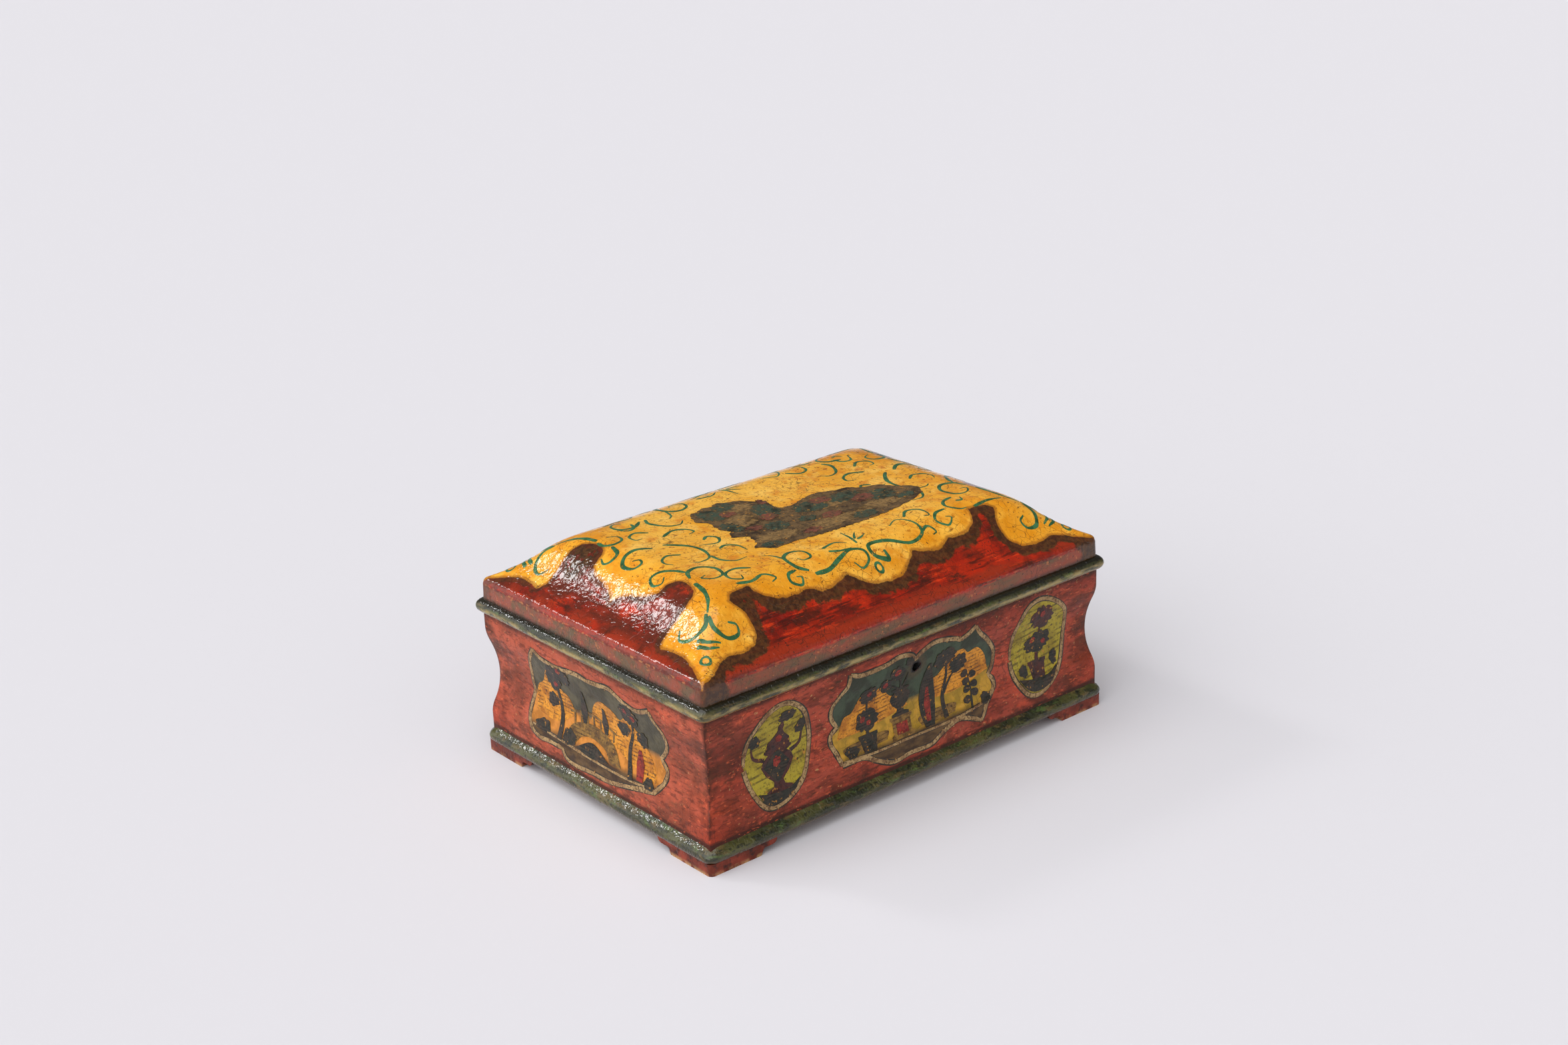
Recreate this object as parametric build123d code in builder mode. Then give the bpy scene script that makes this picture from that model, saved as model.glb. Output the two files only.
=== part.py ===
from build123d import *
from math import atan2, cos, degrees, radians, sin
import os

os.makedirs("parts", exist_ok=True)

# Driving dimensions, in millimetres. The box stands on z = 0, centred in plan,
# with its front and keyhole towards -Y and its hinges towards +Y.

# Plan of the four feet
foot_plan_length = 300.0
foot_plan_depth = 210.0

# Heights of the storeys, from the table up
foot_height = 7.0
carcass_height = 80.5
lid_seat_gap = 0.2
fascia_height = 17.4

# Carcass walls, coved outside and flat inside
band_inset = 3.0
wall_thickness = 12.0
cove_depth = 4.6
cove_foot_level = 28.0
cove_head_level = 73.5
cove_easing_radius = 22.0

# Bottom board in the walls' rebate
bottom_board_thickness = 8.0
bottom_board_rebate = 5.0
bottom_board_clearance = 0.15

# Base moulding, from its underside to its sloped top
base_moulding_height = 9.0
base_underside_overhang = 0.3
base_nose_foot_overhang = 1.1
base_nose_foot_height = 1.4
base_nose_overhang = 1.3
base_nose_height = 5.8
base_nose_radius = 2.0

# Bracket feet at the corners
bracket_thickness = 12.0
bracket_toe_length = 34.0
bracket_head_length = 45.5
bracket_step_run = 1.2
bracket_step_height = 2.2
bracket_hollow_radius = 1.7

# Lid: leaning fascia, rounded edge, ogee slope of two tangent arcs and flat top
lid_inset = 2.3
lid_rim_width = 12.7
fascia_lean = 0.6
lid_edge_run = 2.9
lid_edge_rise = 3.9
lid_edge_swell = 0.7
ogee_hollow_radius = 74.1
ogee_swell_radius = 36.4
ogee_foot_angle = 26.5
ogee_steepest_angle = 47.0
ogee_top_angle = 4.0

# Lid: top board and the hollow under it
lid_top_thickness = 9.0
lid_top_ledge = 8.0
lid_top_clearance = 0.15
lid_inner_wall_height = 14.0
lid_ledge_thickness = 6.0

# Half-round moulding round the foot of the lid
lid_moulding_height = 8.1
lid_moulding_projection = 3.9

# Butt hinges, one near each end of the back
hinge_end_distance = 60.0
hinge_length = 36.0
hinge_leaf_thickness = 1.0
hinge_leaf_reach = 9.6
hinge_knuckle_radius = 1.9
hinge_knuckle_gap = 0.3
hinge_pin_radius = 1.0
hinge_bore_clearance = 0.05
hinge_axis_setback = 0.5
hinge_pocket_clearance = 0.15
hinge_barrel_clearance = 0.4
hinge_nail_pitch = 12.0
hinge_nail_setback = 3.6

# Forged nails of the hinges, lock and staple: eight-sided heads and square shanks
nail_head_radius = 1.5
nail_head_sides = 8
nail_head_depth = 0.7
nail_shank_width = 1.2
nail_length = 6.0
nail_clearance = 0.03

# Lock let into the inside of the front wall
lock_plate_thickness = 1.2
lock_plate_length = 44.0
lock_plate_height = 24.0
lock_selvage_depth = 8.0
lock_case_length = 38.0
lock_case_height = 18.6
lock_case_depth = 5.9
lock_case_wall = 0.9
lock_fit = 0.15
lock_nail_inset = 2.6

# Keyhole and the pin that the key turns on
keyhole_x = 1.4
keyhole_level = 71.0
keyhole_radius = 2.5
keyhole_slot_width = 2.0
keyhole_slot_drop = 2.2
key_pin_radius = 0.9
key_pin_length = 4.4

# Bolt that slides through the staple's eye
bolt_length = 20.0
bolt_height = 4.4
bolt_thickness = 1.8
bolt_staple_gap = 1.0
bolt_running_clearance = 0.1
bolt_talon_width = 4.0
bolt_talon_depth = 1.6
bolt_guide_width = 3.0
bolt_guide_rim = 1.1
bolt_guide_setback = 3.0
bolt_guide_spacing = 10.5

# Staple in the lid's rim
staple_x = 9.0
staple_plate_length = 22.0
staple_plate_thickness = 1.2
staple_leg = 0.8
staple_eye_width = 2.4
staple_eye_height = 5.2
staple_eye_level = 79.0
staple_thickness = 2.0
staple_slot_clearance = 0.5
staple_nail_inset = 3.0

# Levels and outlines that follow from them
half_length = foot_plan_length / 2
half_depth = foot_plan_depth / 2
rim_level = foot_height + carcass_height
lid_rim_level = rim_level + lid_seat_gap
arris_level = lid_rim_level + fascia_height
arris_inset = lid_inset + fascia_lean
slope_foot_level = arris_level + lid_edge_rise
hollow_angle = ogee_steepest_angle - ogee_foot_angle
swell_angle = ogee_steepest_angle - ogee_top_angle
foot_turn, steepest_turn, top_turn = map(radians, (ogee_foot_angle, ogee_steepest_angle, ogee_top_angle))
hollow_run = ogee_hollow_radius * (sin(steepest_turn) - sin(foot_turn))
hollow_rise = ogee_hollow_radius * (cos(foot_turn) - cos(steepest_turn))
swell_run = ogee_swell_radius * (sin(steepest_turn) - sin(top_turn))
swell_rise = ogee_swell_radius * (cos(top_turn) - cos(steepest_turn))
lid_top_level = slope_foot_level + hollow_rise + swell_rise
lid_top_inset = arris_inset + lid_edge_run + hollow_run + swell_run
lid_ledge_level = lid_top_level - lid_top_thickness
wall_inset = band_inset + wall_thickness
lid_inner_inset = lid_inset + lid_rim_width
up = Vector(0, 0, 1)
same_place = 0.01

# Each side: the way it faces, how far its foot stands from the middle, half its run
sides = {
    "front": (Vector(0, -1, 0), half_depth, half_length),
    "back": (Vector(0, 1, 0), half_depth, half_length),
    "left": (Vector(-1, 0, 0), half_length, half_depth),
    "right": (Vector(1, 0, 0), half_length, half_depth),
}

# Hinge line, midway between the two rims
hinge_axis_y = half_depth - band_inset + hinge_axis_setback
hinge_axis_z = rim_level + lid_seat_gap / 2
hinge_reach = half_length - hinge_end_distance
hinge_centres = {"left": -hinge_reach, "right": hinge_reach}
hinge_leaf_end_y = hinge_axis_y - hinge_leaf_reach
hinge_pocket_y = hinge_leaf_end_y - hinge_pocket_clearance
hinge_pocket_length = hinge_length + 2 * hinge_pocket_clearance
hinge_barrel_room = hinge_knuckle_radius + hinge_barrel_clearance
hinge_nail_y = hinge_leaf_end_y + hinge_nail_setback
hinge_nail_steps = (-hinge_nail_pitch, 0, hinge_nail_pitch)
hinge_nail_xs = [hinge_x + step for hinge_x in hinge_centres.values() for step in hinge_nail_steps]

# Lock planes, counted outwards from the inside face of the front wall
wall_face_y = -(half_depth - wall_inset)
plate_back_y = wall_face_y - lock_plate_thickness
case_room = lock_case_depth - lock_case_wall
case_head_level = rim_level - lock_plate_thickness
staple_y = plate_back_y - case_room / 2
staple_width = staple_eye_width + 2 * staple_leg
staple_nail_reach = staple_plate_length / 2 - staple_nail_inset
bolt_level = staple_eye_level + staple_eye_height / 2
bolt_end_x = staple_x - staple_thickness / 2 - bolt_staple_gap
lock_nail_reach = lock_plate_length / 2 - lock_nail_inset
lock_nail_level = rim_level - lock_plate_height + lock_nail_inset
keyhole_plane = Plane(origin=(keyhole_x, wall_face_y, keyhole_level), x_dir=(1, 0, 0), z_dir=(0, -1, 0))

# Each nail's plane lies on its head and faces the way that it is driven
nail_head_taper = degrees(atan2(nail_head_radius - nail_shank_width / 2, nail_head_depth))
carcass_hinge_nail_planes = [Plane(origin=(x, hinge_nail_y, rim_level), z_dir=-up) for x in hinge_nail_xs]
lid_hinge_nail_planes = [Plane(origin=(x, hinge_nail_y, lid_rim_level), z_dir=up) for x in hinge_nail_xs]
staple_nail_planes = [
    Plane(origin=(staple_x + reach, staple_y, lid_rim_level), z_dir=up)
    for reach in (-staple_nail_reach, staple_nail_reach)
]
lock_nail_planes = [
    Plane(origin=(x, wall_face_y, lock_nail_level), x_dir=(1, 0, 0), z_dir=(0, -1, 0))
    for x in (-lock_nail_reach, lock_nail_reach)
]


def section_plane(outward):
    """Upright plane across a side: its x points out of the box and its y points up."""
    return Plane(origin=(0, 0, 0), x_dir=outward, z_dir=outward.cross(up))


def corner_of(side, end):
    """A corner of the foot plan, and the way along the side to it."""
    outward, reach, half_run = sides[side]
    along = outward.cross(up) * end
    return outward * reach + along * half_run, along


def mitre(side, ends=(1, -1)):
    """Saws the open part at 45 degrees through the corners at its ends."""
    for end in ends:
        corner, along = corner_of(side, end)
        split(bisect_by=Plane(origin=corner, z_dir=along - sides[side][0]), keep=Keep.BOTTOM)


def run_and_mitre(side, section):
    """Runs a section along a side and saws its two mitres."""
    outward, reach, half_run = sides[side]
    extrude(to_extrude=section.sketch, amount=half_run + reach, both=True)
    mitre(side)


def cut_hinge_pockets(leaf_low, leaf_high):
    """Cuts the leaf pockets between two levels, and the room for the barrels."""
    for hinge_x in hinge_centres.values():
        with Locations((hinge_x, hinge_pocket_y, leaf_low)):
            Box(
                hinge_pocket_length,
                hinge_leaf_reach,
                leaf_high - leaf_low,
                align=(Align.CENTER, Align.MIN, Align.MIN),
                mode=Mode.SUBTRACT,
            )
        with Locations((hinge_x, hinge_axis_y - hinge_barrel_room, hinge_axis_z)):
            Box(
                hinge_pocket_length,
                hinge_barrel_room + 2 * lid_moulding_projection,
                2 * hinge_barrel_room,
                align=(Align.CENTER, Align.MIN, Align.CENTER),
                mode=Mode.SUBTRACT,
            )


def nails(planes, slack=0.0, mode=Mode.ADD):
    """Nails with countersunk heads, or with some slack, the shapes to cut for them."""
    for plane in planes:
        with BuildSketch(plane) as head:
            RegularPolygon(nail_head_radius + slack, nail_head_sides)
        extrude(to_extrude=head.sketch, amount=nail_head_depth, taper=nail_head_taper, mode=mode)
        with BuildSketch(plane) as shank:
            Rectangle(nail_shank_width + 2 * slack, nail_shank_width + 2 * slack)
        extrude(to_extrude=shank.sketch, amount=nail_length, mode=mode)


def cut_nail_holes(planes):
    """Cuts the holes that nails on these planes fill."""
    nails(planes, slack=nail_clearance, mode=Mode.SUBTRACT)


def cut_keyhole(depth):
    """Cuts the round keyhole and its short slot from the inside face outwards."""
    with BuildSketch(keyhole_plane) as outline:
        Circle(keyhole_radius)
        with Locations((0, -(keyhole_radius + keyhole_slot_drop) / 2)):
            Rectangle(keyhole_slot_width, keyhole_radius + keyhole_slot_drop)
    extrude(to_extrude=outline.sketch, amount=depth, mode=Mode.SUBTRACT)


def save(part, label):
    part.label = label
    export_step(part, f"parts/{label}.step")


# Walls of the carcass
for side, (outward, reach, half_run) in sides.items():
    face_x = reach - band_inset
    inside_x = reach - wall_inset
    rebate_x = inside_x + bottom_board_rebate
    rebate_level = foot_height + bottom_board_thickness
    cove_middle_level = (cove_foot_level + cove_head_level) / 2
    with BuildPart() as wall:
        with BuildSketch(section_plane(outward)) as wall_section:
            with BuildLine():
                ThreePointArc(
                    (face_x, cove_foot_level),
                    (face_x - cove_depth, cove_middle_level),
                    (face_x, cove_head_level),
                )
                Polyline(
                    (face_x, cove_head_level),
                    (face_x, rim_level),
                    (inside_x, rim_level),
                    (inside_x, rebate_level),
                    (rebate_x, rebate_level),
                    (rebate_x, foot_height),
                    (face_x, foot_height),
                    (face_x, cove_foot_level),
                )
            make_face()
            face_corners = wall_section.vertices().filter_by(lambda v: abs(v.X - face_x) < same_place)
            fillet(face_corners.sort_by(Axis.Y)[1:3], radius=cove_easing_radius)
        run_and_mitre(side, wall_section)
        if side == "back":
            cut_hinge_pockets(rim_level - hinge_leaf_thickness, rim_level)
            cut_nail_holes(carcass_hinge_nail_planes)
        if side == "front":
            with Locations((0, wall_face_y, rim_level)):
                Box(
                    lock_plate_length + 2 * lock_fit,
                    2 * lock_plate_thickness,
                    2 * (lock_plate_height + lock_fit),
                    mode=Mode.SUBTRACT,
                )
                Box(
                    lock_plate_length + 2 * lock_fit,
                    2 * (lock_selvage_depth + lock_fit),
                    2 * lock_plate_thickness,
                    mode=Mode.SUBTRACT,
                )
                Box(
                    lock_case_length + 2 * lock_fit,
                    2 * (lock_plate_thickness + lock_case_depth + lock_fit),
                    2 * (lock_plate_thickness + lock_case_height + lock_fit),
                    mode=Mode.SUBTRACT,
                )
            cut_keyhole(wall_thickness)
            cut_nail_holes(lock_nail_planes)
    save(wall.part, f"{side}_wall")

# Bottom board
with BuildPart() as bottom_board:
    board_inset = wall_inset - bottom_board_rebate + bottom_board_clearance
    with BuildSketch(Plane.XY.offset(foot_height)):
        Rectangle(foot_plan_length - 2 * board_inset, foot_plan_depth - 2 * board_inset)
    extrude(amount=bottom_board_thickness)
save(bottom_board.part, "bottom_board")

# Base mouldings
for side, (outward, reach, half_run) in sides.items():
    with BuildPart() as base_moulding:
        with BuildSketch(section_plane(outward)) as base_section:
            with BuildLine():
                Polyline(
                    (reach - band_inset, foot_height),
                    (reach + base_underside_overhang, foot_height),
                    (reach + base_nose_foot_overhang, foot_height + base_nose_foot_height),
                    (reach + base_nose_overhang, foot_height + base_nose_height),
                    (reach - band_inset, foot_height + base_moulding_height),
                    close=True,
                )
            make_face()
            fillet(base_section.vertices().sort_by(Axis.X)[-1], radius=base_nose_radius)
        run_and_mitre(side, base_section)
    save(base_moulding.part, f"{side}_base_moulding")

# Bracket feet: two mitred pieces at each corner
bracket_bead_radius = foot_height - bracket_step_height - bracket_hollow_radius
hollow_x = bracket_toe_length + bracket_step_run + bracket_hollow_radius
bead_x = bracket_head_length - bracket_bead_radius
bracket_names = {
    ("front", 1): "front_left_foot_long_bracket",
    ("front", -1): "front_right_foot_long_bracket",
    ("back", 1): "back_right_foot_long_bracket",
    ("back", -1): "back_left_foot_long_bracket",
    ("left", 1): "back_left_foot_end_bracket",
    ("left", -1): "front_left_foot_end_bracket",
    ("right", 1): "front_right_foot_end_bracket",
    ("right", -1): "back_right_foot_end_bracket",
}
for (side, end), bracket_name in bracket_names.items():
    corner, along = corner_of(side, end)
    outward = sides[side][0]
    with BuildPart() as bracket:
        with BuildSketch(Plane(origin=corner, x_dir=-along, z_dir=outward * end)) as bracket_outline:
            with BuildLine():
                Polyline(
                    (0, foot_height),
                    (0, 0),
                    (bracket_toe_length, 0),
                    (bracket_toe_length + bracket_step_run, bracket_step_height),
                )
                CenterArc((hollow_x, bracket_step_height), bracket_hollow_radius, 180, -90)
                Line(
                    (hollow_x, bracket_step_height + bracket_hollow_radius),
                    (bead_x, bracket_step_height + bracket_hollow_radius),
                )
                CenterArc((bead_x, foot_height), bracket_bead_radius, -90, 90)
                Line((bracket_head_length, foot_height), (0, foot_height))
            make_face()
        extrude(amount=-end * bracket_thickness)
        mitre(side, ends=(end,))
    save(bracket.part, bracket_name)

# Lid sides, hollowed to a shoulder under the slope and a ledge round the top board
for side, (outward, reach, half_run) in sides.items():
    arris = (reach - arris_inset, arris_level)
    slope_foot = (arris[0] - lid_edge_run, slope_foot_level)
    slope_top_x = reach - lid_top_inset
    ledge_x = slope_top_x - lid_top_ledge
    inside_x = reach - lid_inner_inset
    with BuildPart() as lid_side:
        with BuildSketch(section_plane(outward)) as lid_section:
            with BuildLine():
                Line((reach - lid_inset, lid_rim_level), arris)
                SagittaArc(arris, slope_foot, lid_edge_swell)
                hollow = JernArc(
                    start=slope_foot,
                    tangent=(-cos(foot_turn), sin(foot_turn)),
                    radius=ogee_hollow_radius,
                    arc_size=-hollow_angle,
                )
                swell = JernArc(
                    start=hollow @ 1,
                    tangent=hollow % 1,
                    radius=ogee_swell_radius,
                    arc_size=swell_angle,
                )
                Polyline(
                    swell @ 1,
                    (slope_top_x, lid_ledge_level),
                    (ledge_x, lid_ledge_level),
                    (ledge_x, lid_ledge_level - lid_ledge_thickness),
                    (inside_x, lid_rim_level + lid_inner_wall_height),
                    (inside_x, lid_rim_level),
                    (reach - lid_inset, lid_rim_level),
                )
            make_face()
        run_and_mitre(side, lid_section)
        if side == "back":
            cut_hinge_pockets(lid_rim_level, lid_rim_level + hinge_leaf_thickness)
            cut_nail_holes(lid_hinge_nail_planes)
        if side == "front":
            with Locations((staple_x, wall_face_y, lid_rim_level)):
                Box(
                    staple_plate_length + 2 * lock_fit,
                    2 * (lock_selvage_depth + lock_fit),
                    2 * staple_plate_thickness,
                    mode=Mode.SUBTRACT,
                )
            cut_nail_holes(staple_nail_planes)
    save(lid_side.part, f"lid_{side}")

# Top board of the lid
with BuildPart() as lid_top:
    top_inset = lid_top_inset + lid_top_clearance
    with BuildSketch(Plane.XY.offset(lid_ledge_level)):
        Rectangle(foot_plan_length - 2 * top_inset, foot_plan_depth - 2 * top_inset)
    extrude(amount=lid_top_thickness)
save(lid_top.part, "lid_top")

# Lid mouldings
moulding_head_level = lid_rim_level + lid_moulding_height
moulding_head_inset = lid_inset + fascia_lean * lid_moulding_height / fascia_height
for side, (outward, reach, half_run) in sides.items():
    with BuildPart() as lid_moulding:
        with BuildSketch(section_plane(outward)) as moulding_section:
            with BuildLine():
                ThreePointArc(
                    (reach - lid_inset, lid_rim_level),
                    (reach - lid_inset + lid_moulding_projection, lid_rim_level + lid_moulding_height / 2),
                    (reach - moulding_head_inset, moulding_head_level),
                )
                Line((reach - moulding_head_inset, moulding_head_level), (reach - lid_inset, lid_rim_level))
            make_face()
        run_and_mitre(side, moulding_section)
        if side == "back":
            cut_hinge_pockets(lid_rim_level, lid_rim_level + hinge_leaf_thickness)
    save(lid_moulding.part, f"lid_{side}_moulding")


def hinge_leaf(hinge_x, direction, knuckles, nail_planes):
    """A leaf let into a rim, upwards (1) or downwards (-1), with its own knuckles of three."""
    knuckle_pitch = (hinge_length + hinge_knuckle_gap) / 3
    knuckle_length = knuckle_pitch - hinge_knuckle_gap
    leaf_face = hinge_axis_z + direction * lid_seat_gap / 2
    leaf_middle = leaf_face + direction * hinge_leaf_thickness / 2
    plate_end_y = hinge_axis_y - hinge_barrel_room
    with BuildPart() as leaf:
        with Locations((hinge_x, hinge_leaf_end_y, leaf_middle)):
            Box(
                hinge_length,
                plate_end_y - hinge_leaf_end_y,
                hinge_leaf_thickness,
                align=(Align.CENTER, Align.MIN, Align.CENTER),
            )
        for step in knuckles:
            with Locations((hinge_x + step * knuckle_pitch, hinge_axis_y, leaf_middle)):
                Box(
                    knuckle_length,
                    hinge_barrel_room,
                    hinge_leaf_thickness,
                    align=(Align.CENTER, Align.MAX, Align.CENTER),
                )
            with Locations((hinge_x + step * knuckle_pitch, hinge_axis_y, hinge_axis_z)):
                Cylinder(hinge_knuckle_radius, knuckle_length, rotation=(0, 90, 0))
        with Locations((hinge_x, hinge_axis_y, hinge_axis_z)):
            Cylinder(
                hinge_pin_radius + hinge_bore_clearance,
                hinge_length + 2 * hinge_knuckle_gap,
                rotation=(0, 90, 0),
                mode=Mode.SUBTRACT,
            )
        cut_nail_holes(nail_planes)
    return leaf.part


# Hinges: the carcass leaf holds the outer knuckles and the lid leaf the middle one
for hinge_side, hinge_x in hinge_centres.items():
    save(hinge_leaf(hinge_x, -1, (-1, 1), carcass_hinge_nail_planes), f"{hinge_side}_hinge_carcass_leaf")
    save(hinge_leaf(hinge_x, 1, (0,), lid_hinge_nail_planes), f"{hinge_side}_hinge_lid_leaf")
    with BuildPart() as hinge_pin:
        with Locations((hinge_x, hinge_axis_y, hinge_axis_z)):
            Cylinder(hinge_pin_radius, hinge_length, rotation=(0, 90, 0))
    save(hinge_pin.part, f"{hinge_side}_hinge_pin")

with BuildPart() as carcass_hinge_nails:
    nails(carcass_hinge_nail_planes)
save(carcass_hinge_nails.part, "carcass_hinge_nails")

with BuildPart() as lid_hinge_nails:
    nails(lid_hinge_nail_planes)
save(lid_hinge_nails.part, "lid_hinge_nails")

# Lock plate: back plate and selvage in one, with the staple's slot
slot_length = staple_thickness + 2 * staple_slot_clearance
slot_width = staple_width + 2 * staple_slot_clearance
with BuildPart() as lock_plate:
    with Locations((0, wall_face_y, rim_level)):
        Box(
            lock_plate_length,
            lock_plate_thickness,
            lock_plate_height,
            align=(Align.CENTER, Align.MAX, Align.MAX),
        )
        Box(
            lock_plate_length,
            lock_selvage_depth,
            lock_plate_thickness,
            align=(Align.CENTER, Align.MAX, Align.MAX),
        )
    with Locations((staple_x, staple_y, rim_level)):
        Box(slot_length, slot_width, 2 * lock_plate_thickness, mode=Mode.SUBTRACT)
    cut_nail_holes(lock_nail_planes)
save(lock_plate.part, "lock_plate")

# Lock case: a tray behind the plate, with the keyhole, the slot and two bolt guides
with BuildPart() as lock_case:
    with Locations((0, plate_back_y, case_head_level)):
        Box(
            lock_case_length,
            lock_case_depth,
            lock_case_height,
            align=(Align.CENTER, Align.MAX, Align.MAX),
        )
    with Locations((0, plate_back_y, case_head_level - lock_case_wall)):
        Box(
            lock_case_length - 2 * lock_case_wall,
            case_room,
            lock_case_height - 2 * lock_case_wall,
            align=(Align.CENTER, Align.MAX, Align.MAX),
            mode=Mode.SUBTRACT,
        )
    guide_foot_level = bolt_level - bolt_height / 2 - bolt_running_clearance - bolt_guide_rim
    first_guide_x = bolt_end_x - bolt_guide_setback - bolt_guide_width / 2
    for guide_x in (first_guide_x, first_guide_x - bolt_guide_spacing):
        with Locations((guide_x, plate_back_y, guide_foot_level)):
            Box(
                bolt_guide_width,
                case_room,
                case_head_level - lock_case_wall - guide_foot_level,
                align=(Align.CENTER, Align.MAX, Align.MIN),
            )
    with Locations((0, staple_y, bolt_level)):
        Box(
            lock_case_length - 2 * lock_case_wall,
            bolt_thickness + 2 * bolt_running_clearance,
            bolt_height + 2 * bolt_running_clearance,
            mode=Mode.SUBTRACT,
        )
    with Locations((staple_x, staple_y, case_head_level)):
        Box(slot_length, slot_width, 2 * lock_case_wall, mode=Mode.SUBTRACT)
    cut_keyhole(lock_plate_thickness + lock_case_depth)
save(lock_case.part, "lock_case")

# Pin that the hollow key turns on
with BuildPart() as key_pin:
    with BuildSketch(keyhole_plane.offset(lock_plate_thickness)):
        Circle(key_pin_radius)
    extrude(amount=key_pin_length)
save(key_pin.part, "key_pin")

# Bolt, drawn back clear of the staple
with BuildPart() as lock_bolt:
    with Locations((bolt_end_x, staple_y, bolt_level)):
        Box(
            bolt_length,
            bolt_thickness,
            bolt_height,
            align=(Align.MAX, Align.CENTER, Align.CENTER),
        )
    with Locations((keyhole_x, staple_y, bolt_level - bolt_height / 2)):
        Box(bolt_talon_width, bolt_thickness, 2 * bolt_talon_depth, mode=Mode.SUBTRACT)
save(lock_bolt.part, "lock_bolt")

with BuildPart() as lock_nails:
    nails(lock_nail_planes)
save(lock_nails.part, "lock_nails")

# Staple: a plate in the lid's rim and the eye that hangs from it
with BuildPart() as staple:
    with Locations((staple_x, wall_face_y, lid_rim_level)):
        Box(
            staple_plate_length,
            lock_selvage_depth,
            staple_plate_thickness,
            align=(Align.CENTER, Align.MAX, Align.MIN),
        )
    with Locations((staple_x, staple_y, staple_eye_level - staple_leg)):
        Box(
            staple_thickness,
            staple_width,
            lid_rim_level - staple_eye_level + staple_leg,
            align=(Align.CENTER, Align.CENTER, Align.MIN),
        )
    with Locations((staple_x, staple_y, bolt_level)):
        Box(2 * staple_thickness, staple_eye_width, staple_eye_height, mode=Mode.SUBTRACT)
    cut_nail_holes(staple_nail_planes)
save(staple.part, "staple")

with BuildPart() as staple_nails:
    nails(staple_nail_planes)
save(staple_nails.part, "staple_nails")
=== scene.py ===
import math

import bpy
import numpy as np
from mathutils import Matrix, Vector


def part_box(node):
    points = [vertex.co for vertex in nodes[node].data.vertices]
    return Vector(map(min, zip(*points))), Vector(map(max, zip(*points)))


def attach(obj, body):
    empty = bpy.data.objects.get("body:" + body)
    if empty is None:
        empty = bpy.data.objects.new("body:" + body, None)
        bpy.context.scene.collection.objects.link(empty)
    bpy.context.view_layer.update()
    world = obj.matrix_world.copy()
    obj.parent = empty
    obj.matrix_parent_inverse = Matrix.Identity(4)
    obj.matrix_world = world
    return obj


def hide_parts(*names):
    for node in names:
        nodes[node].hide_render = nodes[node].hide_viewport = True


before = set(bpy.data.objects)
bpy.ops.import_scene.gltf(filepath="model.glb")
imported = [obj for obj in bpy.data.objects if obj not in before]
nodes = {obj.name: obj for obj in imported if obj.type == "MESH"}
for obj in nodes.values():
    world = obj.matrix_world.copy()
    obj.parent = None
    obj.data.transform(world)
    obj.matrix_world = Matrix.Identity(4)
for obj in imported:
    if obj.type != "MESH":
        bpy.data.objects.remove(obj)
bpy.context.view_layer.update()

# Sizes of the box in millimetres, as in its construction. Blender's own unit is the metre.
MM = 0.001

rim_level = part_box("front_wall")[1].z / MM
lid_rim_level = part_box("lid_front")[0].z / MM
lid_top_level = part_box("lid_top")[1].z / MM
base_head_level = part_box("front_base_moulding")[1].z / MM
wall_half_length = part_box("front_wall")[1].x / MM
wall_half_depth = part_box("left_wall")[1].y / MM
lid_foot_half_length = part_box("lid_front")[1].x / MM
lid_foot_half_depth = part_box("lid_left")[1].y / MM

fascia_lean, fascia_rings, lid_corner_radius = 0.6, 5, 2.6
arris_level = lid_rim_level + 17.4
arris_half_length = lid_foot_half_length - fascia_lean
arris_half_depth = lid_foot_half_depth - fascia_lean
edge_run, edge_rise, edge_swell = 2.9, 3.9, 0.7
hollow_radius, swell_radius = 74.1, 36.4
foot_turn, steepest_turn, top_turn = math.radians(26.5), math.radians(47.0), math.radians(4.0)

lid_inner_half_length = wall_half_length - 12.0
lid_inner_half_depth = wall_half_depth - 12.0
lid_shoulder_level = lid_rim_level + 14.0
lid_ledge_half_length, lid_ledge_half_depth = 91.0, 46.0
lid_ledge_level = lid_top_level - 15.0
lid_board_underside = lid_top_level - 9.0

cove_depth, cove_foot_level, cove_head_level = 4.6, 28.0, 73.5
hinge_axis, barrel_room = (102.5, 87.6), 2.3
leaf_gap, leaf_room_below, leaf_room_above = 0.15, 1.2, 1.25
keyhole_x, keyhole_level = 1.4, 71.0


# Nodes and colours

def paint(code):
    """A colour given as an sRGB hex value, as Blender's linear RGBA."""
    parts = [int(code[i:i + 2], 16) / 255 for i in (1, 3, 5)]
    return (*[p / 12.92 if p <= 0.04045 else ((p + 0.055) / 1.055) ** 2.4 for p in parts], 1.0)


def out(source):
    """The socket itself, or a node's first socket in use."""
    if isinstance(source, bpy.types.Node):
        return next(s for s in source.outputs if s.enabled)
    return source


def add(tree, kind, feeds=None, stops=None, **settings):
    """Adds a shader node with its settings, its fixed values and links, and a ramp's stops."""
    made = tree.nodes.new("ShaderNode" + kind)
    for name, value in settings.items():
        setattr(made, name, value)
    for socket, source in (feeds or {}).items():
        if isinstance(source, str):
            source = paint(source)
        if isinstance(source, (bpy.types.Node, bpy.types.NodeSocket)):
            tree.links.new(out(source), made.inputs[socket])
        else:
            made.inputs[socket].default_value = source
    if stops:
        elements = made.color_ramp.elements
        for i, (place, code) in enumerate(stops):
            step = elements[i] if i < 2 else elements.new(place)
            step.position = place
            step.color = paint(code)
    return made


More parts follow.
